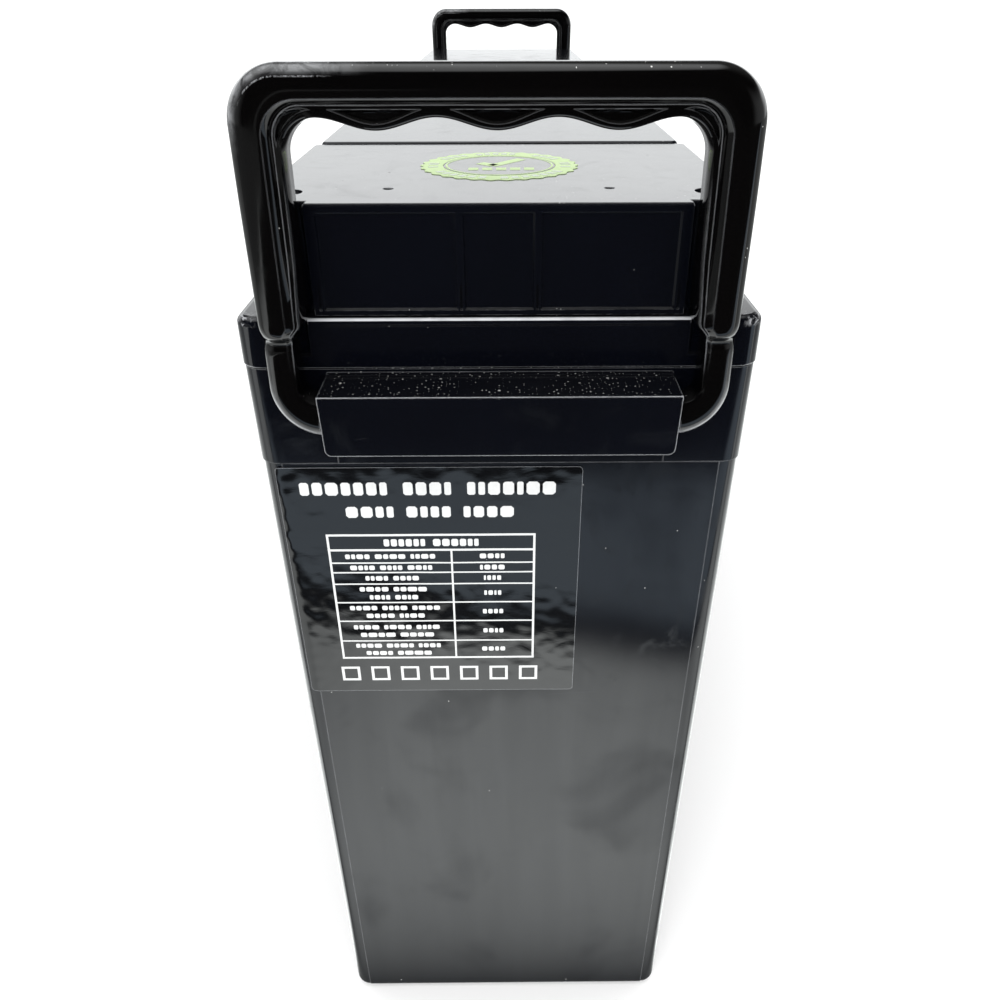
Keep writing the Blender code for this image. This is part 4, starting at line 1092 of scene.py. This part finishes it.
def leg_stations():
    """The straight leg, its neck, and the bend in to the pivot stud."""
    stations = []
    for z in (54.0, 48.0, 42.0, 36.0, 30.0, 26.0, 24.0, 23.0):
        stations.append(Station(
            (HANDLE_HW - 0.3 * smooth_step(54.0, 24.0, z), z), (45.0, z),
            (43.3 + 0.3 * smooth_step(40.0, 23.0, z), z), GRIP_DEPTH, GRIP_FLAT,
            5.0, 1.5, 1.5 + 1.4 * smooth_step(24.0, 36.0, z), 0.0))
    for z, outer_x, inner_x, depth in LEG_NECK:
        wide = smooth_step(18.0, 22.0, z)
        bevel = 0.35 + 0.35 * smooth_step(8.0, 16.0, z) + 0.8 * wide
        stations.append(Station(
            (outer_x, z), (inner_x + 0.2 + 1.0 * wide, z), (inner_x, z), depth,
            1.2 + 0.5 * wide, 3.6 + 1.4 * wide, bevel, bevel, 0.0))
    steps = 18
    for k in range(1, steps + 1):
        out_angle = math.radians(-82.2 * k / steps)
        in_angle = math.radians(-90.0 * k / steps)
        points = [on_arc(LOWER_BEND, 12.5, 12.5, out_angle)]
        points += [on_arc((STUD_X, 8.3), r, r, in_angle) for r in (4.4, 4.2)]
        if k == steps:
            points = [(STUD_X, z) for x, z in points]
        stations.append(Station(*points, 4.5, 1.2, 3.6, 0.35, 0.35, 0.0))
    return stations


def between(start, end, distance, length):
    t = distance / length
    return start[0] + (end[0] - start[0]) * t, start[1] + (end[1] - start[1]) * t


def pocket_depth(pocket, x, z, along, width):
    """How deep the web is sunk at a point, along being its distance from the frame."""
    if pocket > 0:
        return (POCKET_DEPTH * smooth_step(0.0, 0.5, POCKET_TOP - z)
                * smooth_step(0.0, 0.5, z - pocket_z(x)))
    if pocket < 0:
        pinch = (1 + pocket) * 0.38 * width
        return (POCKET_DEPTH * smooth_step(0.15, 0.65, along - pinch)
                * smooth_step(0.9, 1.4, width - along - pinch)
                * smooth_step(0.12, 0.4, -pocket))
    return 0.0


def handle_ring(station, sx):
    """The closed section: out over the near face from outside to inside, and back."""
    outer, rim, inner, depth, flat, crown, bevel_width, bevel_depth, pocket = station
    half = [(*outer, 0.0), (*outer, flat)]
    width = math.dist(outer, rim)
    for drop, rise in quarter(7):
        half.append((*between(outer, rim, crown * drop, width), flat + (depth - flat) * rise))
    for distance, y in (((crown + width - bevel_width) / 2, depth),
                        (width - bevel_width - 0.25, depth),
                        (width - bevel_width, depth - 0.08)):
        half.append((*between(outer, rim, distance, width), y))
    web_y = depth - bevel_depth
    half.append((*rim, web_y))
    web = math.dist(rim, inner)
    edge = min(0.5, web * 0.4)
    for k in range(1, WEB_STEPS + 1):
        t = k / WEB_STEPS * (1 - edge / web)
        x = rim[0] + (inner[0] - rim[0]) * t
        z = rim[1] + (inner[1] - rim[1]) * t
        half.append((x, z, web_y - pocket_depth(pocket, x, z, web * t, web)))
    half += [(*inner, web_y - edge), (*inner, 0.0)]
    ring = [(sx * x, -y, z) for x, z, y in half]
    return ring + [(sx * x, y, z) for x, z, y in reversed(half[1:-1])]


def build_handle(node, side, gloss, satin_sheen):
    half = top_stations() + leg_stations()
    stations = half[::-1] + half[1:]
    rings = [handle_ring(station, -1) for station in half[::-1]]
    rings += [handle_ring(station, 1) for station in half[1:]]
    verts, faces = loft(rings)
    if side > 0:
        verts = [(-x, -y, z) for x, y, z in verts]
    ring_size = len(rings[0])
    slots = [0] * len(faces)
    for k in range(len(rings) - 1):
        if min(stations[k].rim[1], stations[k + 1].rim[1]) > SATIN_Z:
            for strip in (SATIN_STRIP, ring_size - 1 - SATIN_STRIP):
                slots[k * ring_size + strip] = 1
    ob = mesh_piece(node + "_grip", verts, faces, gloss, slots=slots)
    ob.data.materials.append(satin_sheen)
    jobs = []
    for sx in (-1, 1):
        stud = [(-4.6 * sx, 3.2), (-4.2 * sx, 3.55), (-3.9 * sx, 3.7), (1.2 * sx, 3.7)]
        jobs.append((turned_tool(stud, 40, (sx * STUD_X, 0, 0), "X"), JOIN))
    combine(ob, jobs)
    smooth_shade(ob, 50)
    ob.location = Vector((0, side * PIVOT_Y, PIVOT_Z)) * MM
    ob.rotation_euler = (side * HANDLE_LEAN, 0, 0)
    register(ob, node, body=node)


# ------------------------------------------------------------------ rating label
LABEL_Z0, LABEL_Z1 = LABEL_LO[2], LABEL_HI[2]
LABEL_RIGHT = LABEL_HI[0]
LABEL_W, LABEL_H = 79.4, 78.0  # measured along the surface
LABEL_CORNER_R = 1.2
LABEL_STEPS = 110


def label_point(u, v, lift):
    """A point of the label: u from the left edge, v down from the top edge, both 0 to 1."""
    z = LABEL_Z1 - (LABEL_Z1 - LABEL_Z0) * v
    flat_x, flat_y = case_hw(z) - STEP - CORNER_R, case_hl(z) - STEP - CORNER_R
    x = LABEL_RIGHT - LABEL_W * (1 - u)
    radius = CORNER_R + lift
    if x >= -flat_x:
        return (x, -flat_y - radius, z)
    # the last stretch turns the corner of the case
    angle = (-flat_x - x) / CORNER_R
    return (-flat_x - radius * math.sin(angle), -flat_y - radius * math.cos(angle), z)


def label_lift(u, v):
    """How far the film stands off the case: bubbles, and a loose left edge."""
    place = Vector((u * 9.0, v * 9.0, 2.3))
    bubble = (noise.noise(place) * 0.5 + noise.noise(place * 2.7) * 0.3
              + noise.noise(place * 6.0) * 0.04)
    loose = 0.10 + 0.06 * noise.noise(Vector((u * 20, v * 26, 5.0)))
    return 0.16 + max(bubble, -0.3) * 0.15 + smooth_step(0.16, 0.0, u) * loose


def round_corner(u, v):
    """Pulls a point of the label in to its rounded corners."""
    r = LABEL_CORNER_R
    du, dv = min(u, 1 - u) * LABEL_W, min(v, 1 - v) * LABEL_H
    reach = math.hypot(r - du, r - dv)
    if du >= r or dv >= r or reach <= r:
        return u, v
    du, dv = r - (r - du) * r / reach, r - (r - dv) * r / reach
    return (du / LABEL_W if u < 0.5 else 1 - du / LABEL_W,
            dv / LABEL_H if v < 0.5 else 1 - dv / LABEL_H)


def build_label_film(material):
    n = LABEL_STEPS
    row = n + 1
    verts, faces = [], []
    for thickness in (0.0, 0.1):
        for j in range(row):
            for i in range(row):
                u, v = round_corner(i / n, j / n)
                verts.append(label_point(u, v, label_lift(u, v) + thickness))
    layer = row * row
    for j in range(n):
        for i in range(n):
            a = j * row + i
            quad = (a, a + 1, a + row + 1, a + row)
            faces.append(quad[::-1])
            faces.append(tuple(k + layer for k in quad))
    rim = list(range(n)) + [j * row + n for j in range(n)]
    rim += [n * row + i for i in range(n, 0, -1)] + [j * row for j in range(n, 0, -1)]
    for a, b in zip(rim, rim[1:] + rim[:1]):
        faces.append((a, b, b + layer, a + layer))
    ob = mesh_piece("rating_label_film", verts, faces, material, 40)
    register(ob, "rating_label")


# The print. Rules and table columns are fractions of the label's height and width.
LABEL_RULES = (0.268, 0.331, 0.386, 0.428, 0.479, 0.563, 0.650, 0.745, 0.829)
TABLE_LEFT, TABLE_RIGHT, TABLE_SPLIT = 0.14 * LABEL_W, 0.845 * LABEL_W, 0.56 * LABEL_W
RULE_HALF = 0.22
# left column: row, half width of a single line
SINGLE_LINES = ((1, 12.5), (2, 11.5), (3, 7.6))
# left column: row, half widths of the upper and lower line
DOUBLE_LINES = ((4, 9.6, 7.0), (5, 13.0, 8.5), (6, 12.6, 10.8), (7, 12.6, 9.8))
# right column: half width of the one word in rows 1 to 7
RIGHT_WORDS = (3.6, 3.6, 2.6, 2.6, 3.1, 3.1, 3.6)


def build_label_print(material):
    rnd = random.Random(11)

    def place(x, y, layer):
        u, v = x / LABEL_W, y / LABEL_H
        return label_point(u, v, label_lift(u, v) + layer)

    prints = Prints(place, (0.12, 0.16), y_down=True)

    def words(x0, x1, y0, y1, letters, gap, space=1.7):
        """A line of words: one plain dash for each letter, letters being counts per word."""
        widths = [[rnd.uniform(0.72, 1.3) for _ in range(count)] for count in letters]
        total = sum(sum(word) for word in widths)
        unit = (x1 - x0 - space * (len(letters) - 1)) / total
        x = x0
        for word in widths:
            for share in word:
                w = share * unit - gap
                cut = min(w, y1 - y0) * 0.2
                prints.add([(x + cut, y0), (x + w - cut, y0), (x + w, y0 + cut),
                            (x + w, y1 - cut), (x + w - cut, y1), (x + cut, y1),
                            (x, y1 - cut), (x, y0 + cut)])
                x += share * unit
            x += space

    def line(centre, half, y, height, letters, gap=0.34):
        height *= 0.88
        words(centre - half, centre + half, y - height / 2, y + height / 2, letters, gap, 1.1)

    def stops(start, end, steps):
        ends = [start + (end - start) * k / steps for k in range(steps + 1)]
        return zip(ends, ends[1:])

    def row_middle(row):
        return (LABEL_RULES[row] + LABEL_RULES[row + 1]) / 2 * LABEL_H

    # headings
    words(0.071 * LABEL_W, 0.923 * LABEL_W, 0.057 * LABEL_H, 0.107 * LABEL_H,
          (7, 4, 7), gap=0.8, space=3.4)
    words(0.214 * LABEL_W, 0.785 * LABEL_W, 0.152 * LABEL_H, 0.196 * LABEL_H,
          (4, 4, 4), gap=0.8, space=2.6)

    # table rules, in short lengths so that they follow the film
    last = len(LABEL_RULES) - 1
    for k, rule in enumerate(LABEL_RULES):
        w = RULE_HALF * (1.5 if k in (0, 1, last) else 1.0)
        for a, b in stops(TABLE_LEFT - w, TABLE_RIGHT + w, 12):
            prints.add_box(a, b, rule * LABEL_H - w, rule * LABEL_H + w)
    for x, first, weight in ((TABLE_LEFT, 0, 1.4), (TABLE_RIGHT, 0, 1.4), (TABLE_SPLIT, 1, 1.2)):
        w = RULE_HALF * weight
        for a, b in stops(LABEL_RULES[first] * LABEL_H, LABEL_RULES[-1] * LABEL_H, 14):
            prints.add_box(x - w, x + w, a, b)

    # table text
    words(0.33 * LABEL_W, 0.66 * LABEL_W, 0.285 * LABEL_H, 0.315 * LABEL_H, (6, 6), gap=0.45)
    left = (TABLE_LEFT + TABLE_SPLIT) / 2
    right = (TABLE_SPLIT + TABLE_RIGHT) / 2
    for row, half in SINGLE_LINES:
        line(left, half, row_middle(row), 1.75, (4, 4) if half < 10 else (4, 4, 4))
    for row, upper, lower in DOUBLE_LINES:
        line(left, upper, row_middle(row) - 1.42, 1.75, (4, 4) if upper < 10 else (4, 4, 4))
        line(left, lower, row_middle(row) + 1.42, 1.75, (4, 4))
    for row, half in enumerate(RIGHT_WORDS, 1):
        line(right, half, row_middle(row), 1.8, (4,), gap=0.4)

    # a row of equal empty squares along the foot, each of four mitred sides
    y, a, b = 0.909 * LABEL_H, 2.75, 1.95
    for k in range(7):
        x = (0.16 + 0.1115 * k) * LABEL_W
        for cos, sin in ((1, 0), (0, 1), (-1, 0), (0, -1)):
            prints.add([(x + p * cos - q * sin, y + p * sin + q * cos)
                        for p, q in ((a, a), (-a, a), (-b, b), (b, b))])
    prints.build("rating_label_print", material)


# ------------------------------------------------------------------ round sticker
STICKER_X, STICKER_Y = middle(STICKER_LO, STICKER_HI, 0), middle(STICKER_LO, STICKER_HI, 1)
STICKER_R = (STICKER_HI[0] - STICKER_LO[0]) / 2
STICKER_Z = COVER_Z + 0.03
STICKER_STEPS, STICKER_LOBES = 360, 30
# arcs of dashes round the ring: start and end in degrees, places, places left empty
DASH_ARCS = (
    (28, 152, 16, (4, 5, 11)),
    (208, 332, 14, (6,)),
    (-12, 12, 4, (1,)),
    (168, 192, 4, (2,)),
)


def sticker_place(x, y, layer):
    return (STICKER_X + x, STICKER_Y + y, STICKER_Z + layer)


def sticker_loop(radius, lift, lobe=0.0):
    points = []
    for k in range(STICKER_STEPS):
        angle = 2 * math.pi * k / STICKER_STEPS
        r = radius + lobe * math.cos(STICKER_LOBES * 2 * math.pi * k / STICKER_STEPS)
        points.append(sticker_place(r * math.cos(angle), r * math.sin(angle), lift))
    return points


def ring_piece(r0, r1, a0, a1):
    """A four-cornered piece of a flat ring, angles in radians."""
    return [(r * math.cos(a), r * math.sin(a)) for r, a in ((r0, a0), (r1, a0), (r1, a1), (r0, a1))]


def stroke(start, end, width):
    dx, dy = end[0] - start[0], end[1] - start[1]
    length = math.hypot(dx, dy)
    nx, ny = -dy / length * width / 2, dx / length * width / 2
    return [(start[0] - nx, start[1] - ny), (end[0] - nx, end[1] - ny),
            (end[0] + nx, end[1] + ny), (start[0] + nx, start[1] + ny)]


def build_sticker(lime, clear):
    edge_r, ring_r = STICKER_R - 0.5, STICKER_R * 0.71
    rings = [sticker_loop(edge_r, 0.0, 0.45), sticker_loop(edge_r, 0.12, 0.45),
             sticker_loop(ring_r, 0.12), sticker_loop(ring_r, 0.0)]
    ob = mesh_piece("sticker_ring", *loft(rings, closed=True), lime, 40)
    register(ob, "round_sticker")

    rings = [sticker_loop(STICKER_R * 0.70, lift) for lift in (0.0, 0.1)]
    ob = mesh_piece("sticker_centre", *loft(rings), clear, 40)
    register(ob)

    # a plain tick, a row of dashes under it, and a thin ring line round both
    sign = Prints(sticker_place, (0.11, 0.16))
    sign.add(stroke((-5.2, 3.0), (-1.2, -0.8), width=3.0))
    sign.add(stroke((-1.9, -1.0), (6.0, 9.0), width=3.0))
    for k in range(5):
        x = -8.0 + 3.6 * k
        sign.add_box(x, x + 2.6, -7.4, -4.0)
    for k in range(72):
        sign.add(ring_piece(STICKER_R * 0.655, STICKER_R * 0.68,
                            2 * math.pi * k / 72, 2 * math.pi * (k + 1) / 72))
    sign.build("sticker_sign", lime)


def build_sticker_dashes(ink):
    dashes = Prints(sticker_place, (0.13, 0.16))
    for start, end, places, empty in DASH_ARCS:
        for k in range(places):
            if k not in empty:
                a0, a1 = (math.radians(start + (end - start) * (k + part) / places)
                          for part in (0.14, 0.80))
                dashes.add(ring_piece(STICKER_R * 0.775, STICKER_R * 0.90, a0, a1))
    dashes.build("sticker_dashes", ink)


# ------------------------------------------------------------------ build the product
lid_plastic = black_plastic(
    "abs_lid", rough=0.09, smudge=0.04, dust_top=0.3, film_top=0.02, peel=0.004,
    edge_radius=0.00035, sheen_and_wear=lid_sheen_and_wear)
case_plastic = black_plastic(
    "abs_case", rough=0.12, smudge=0.14, dust=0.45, dust_top=1.2, film_top=0.012, clump=1.35,
    scratch=0.3, blot=0.36, edge_radius=0.00035, sheen_and_wear=case_edge_highlights)
cover_plastic = black_plastic(
    "abs_cover", rough=0.10, smudge=0.04, dust=0.8, dust_top=0.3, film_top=0.10, peel=0.004,
    blot=0.05, edge=0.6, sheen_and_wear=cover_edge_highlights)
handle_plastic = black_plastic(
    "handle_plastic", base=(0.0005, 0.0005, 0.0006), tint=(0.0013, 0.0010, 0.0010), rough=0.08,
    smudge=0.05, dust_top=0.4, film_top=0.03, scratch=0.5, edge_radius=0.0004,
    edge_sheen_colour=(0.30, 0.31, 0.33), sheen_and_wear=handle_sheen_and_wear)
# a satin copy of the handle plastic, whose lighter base colour paints the grey sheen of the inner bevel band
handle_satin_sheen = black_plastic(
    "handle_satin_sheen", base=(0.030, 0.030, 0.031), tint=(0.038, 0.037, 0.037), rough=0.42,
    smudge=0.08, dust_top=0.2, film_top=0.01, scratch=0.4, edge=0.35,
    edge_sheen_colour=(0.30, 0.31, 0.33))

build_case(case_plastic)
build_lid(lid_plastic)
build_cover(cover_plastic)
INNER = inner_materials()
build_screw("cover_screw_left", INNER["zinc_steel"], -1)
build_screw("cover_screw_right", INNER["zinc_steel"], 1)
build_handle("front_handle", -1, handle_plastic, handle_satin_sheen)
build_handle("rear_handle", 1, handle_plastic, handle_satin_sheen)

film_material = label_film()
label_ink = print_ink("label_ink_m", (0.68, 0.69, 0.68), (0.56, 0.57, 0.57), grain=700.0,
                      detail=3.0, spread=0.1, gloss=0.3, relief=0.1, depth=0.0002)
build_label_film(film_material)
build_label_print(label_ink)

lime_ink = print_ink("lime_ink_m", (0.49, 0.64, 0.32), (0.53, 0.66, 0.38), grain=260.0,
                     detail=4.0, spread=0.15, gloss=0.55, relief=0.08)
sticker_clear = print_ink("sticker_clear_m", (0.02, 0.022, 0.02), (0.05, 0.055, 0.045),
                          grain=200.0, detail=4.0, spread=0.1, gloss=0.12, relief=0.06, ior=1.5)
sticker_ink = print_ink("sticker_ink_m", (0.10, 0.16, 0.06), (0.16, 0.25, 0.10), grain=400.0,
                        detail=3.0, spread=0.06, gloss=0.08, relief=0.08)
build_sticker(lime_ink, sticker_clear)
build_sticker_dashes(sticker_ink)

# the CAD pieces that are kept take a material by their slot
SLOTS = {part["node"]: part["material_slot"] for part in frame["record"]["subparts"]}
for node, ob in frame["nodes"].items():
    if node not in REPLACED:
        paint(ob, INNER.get(SLOTS.get(node, ""), INNER["zinc_steel"]))


# ------------------------------------------------------------------ floor
def floor_material():
    """White paper. Glossy pieces see a painted reflection instead: a glowing pale sheet in front of the
    product, with painted shade close to it, ending at a painted bluish table."""
    material = bpy.data.materials.new("floor_paper")
    material.use_nodes = True
    material.node_tree.nodes.clear()
    shader = Shader(material.node_tree)
    position = shader.make("NewGeometry")["Position"]
    place = shader.split(position)

    # distance in front of the product in metres, skewed along x and made uneven
    distance = place[1] * -1.0 - END * MM
    straight = distance * 1.0
    distance = distance * (1.0 + place[0] * 0.75)
    distance = distance * (0.9 + shader.noise(scale=5.0, place=position) * 0.2)

    fade_length, fade_depth = 0.037, 0.885  # contact shade: its reach, and how dark it gets
    shade = (distance.max(0.0) * (-1 / fade_length)).math("EXPONENT")
    shade = 1.0 - shade * fade_depth
    sheet = shade * distance.ramp(0.222, 0.188)
    sheet = sheet * abs(place[0]).ramp(0.04, 0.16, to=(2.5, 1.5))
    table = distance.ramp(0.228, 0.260) * straight.ramp(0.44, 0.385) * 0.9

    # beside and behind the product there is only the sheet, fading sideways
    beyond = place[1].ramp(-0.276, -0.262)
    beside = abs(place[0]).ramp(0.06, 0.95, to=(2.2, 0.36))
    sheet = sheet * (1.0 - beyond) + beside * beyond
    table = table * (1.0 - beyond)

    # red, green and blue of sheet and table, over a faint base level
    tints = ((0.965, 0.82), (1.0, 0.97), (0.99, 1.12))
    base_level = 0.03
    channels = {k: sheet * of_sheet + table * of_table + base_level
                for k, (of_sheet, of_table) in enumerate(tints)}
    mirrored = shader.make("Emission", {"Color": shader.make("CombineColor", channels),
                                        "Strength": 1.0})
    paper = shader.make("BsdfDiffuse", {"Color": (0.93, 0.93, 0.93, 1)})
    shader.make("OutputMaterial", {0: shader.mix_by_glossy(paper, mirrored)})
    return material


def build_floor():
    mesh = bpy.data.meshes.new("studio_floor")
    bm = bmesh.new()
    bmesh.ops.create_grid(bm, x_segments=8, y_segments=8, size=30.0)
    bm.to_mesh(mesh)
    bm.free()
    floor = add_object("studio_floor", mesh)
    floor.location = (0, 0, -0.0003)
    mesh.materials.append(floor_material())


# ------------------------------------------------------------------ world and lights
def build_world():
    """Even white light; glossy pieces mirror a dark room with a rear wall, sides and a lamp."""
    world = bpy.data.worlds.new("studio_world")
    bpy.context.scene.world = world
    world.use_nodes = True
    world.node_tree.nodes.clear()
    shader = Shader(world.node_tree)
    direction = shader.make("TexCoord")["Generated"]
    toward = shader.split(direction)

    # each ramp runs over a component of the view direction, and gives a brightness
    wall = toward[2].ramp(0.12, 0.21, to=(1.35, 1.95))
    wall = wall * toward[2].ramp(0.24, 0.40, to=(1.0, 0.02))
    wall = wall * toward[1].ramp(0.05, 0.6)
    sides = abs(toward[0]).ramp(0.55, 0.95, to=(0.0, 0.45)) * toward[2].ramp(0.5, 0.2)
    lamp_direction = Vector((-0.25, 0.20, 0.95)).normalized()
    facing_lamp = shader.make("VectorMath", {0: direction, 1: lamp_direction},
                              operation="DOT_PRODUCT")["Value"]
    lamp = facing_lamp.ramp(0.72, 0.93, to=(0.0, 1.6))
    base_level = 0.012
    light = wall.max(sides).max(lamp) + base_level

    room_tint = (0.97, 0.99, 1.0)
    colour = shader.make("CombineColor", {k: light * tint for k, tint in enumerate(room_tint)})
    plain = shader.make("Background", {"Color": (1, 1, 1, 1), "Strength": 1.35})
    room = shader.make("Background", {"Color": colour})
    shader.make("OutputWorld", {0: shader.mix_by_glossy(plain, room)})


def build_lights():
    """A soft sun from above and an area light in front, neither seen in reflections."""
    sun = bpy.data.lights.new("soft_sun", "SUN")
    sun.energy = 0.45
    sun.angle = math.radians(50)
    ob = add_object("soft_sun", sun)
    ob.rotation_euler = (math.radians(38), math.radians(-14), 0)
    ob.visible_glossy = False

    area = bpy.data.lights.new("front_fill", "AREA")
    area.energy = 9
    area.size = 0.9
    ob = add_object("front_fill", area)
    ob.location = (-0.3, -1.7, 1.0)
    target = Vector((0, -0.28, 0.2))
    ob.rotation_euler = (target - Vector(ob.location)).to_track_quat("-Z", "Y").to_euler()
    ob.visible_glossy = False


# ------------------------------------------------------------------ camera
def build_camera():
    """Looks down at the front; pitch is below level, yaw is towards +x."""
    pitch, roll, yaw = math.radians(31.299), math.radians(-0.120), math.radians(0.397)
    position = (0.001160, -0.468349, 0.347551)
    forward = Vector((math.sin(yaw) * math.cos(pitch), math.cos(yaw) * math.cos(pitch),
                      -math.sin(pitch)))
    level_right = forward.cross(Vector((0, 0, 1))).normalized()
    level_up = level_right.cross(forward)
    right = level_right * math.cos(roll) + level_up * math.sin(roll)
    up = -level_right * math.sin(roll) + level_up * math.cos(roll)

    data = bpy.data.cameras.new("camera")
    camera = add_object("camera", data)
    data.sensor_width = 36.0
    data.lens = 30.2239
    data.shift_x = -0.010605
    data.shift_y = 0.001378
    data.clip_start = 0.01
    data.clip_end = 100.0
    rotation = Matrix((right, up, -forward)).transposed()
    camera.matrix_world = Matrix.Translation(position) @ rotation.to_4x4()
    bpy.context.scene.camera = camera


build_floor()
build_world()
build_lights()
build_camera()
view = bpy.context.scene.view_settings
view.view_transform = "Standard"
view.look = "None"
view.exposure = 0.0
view.gamma = 1.0
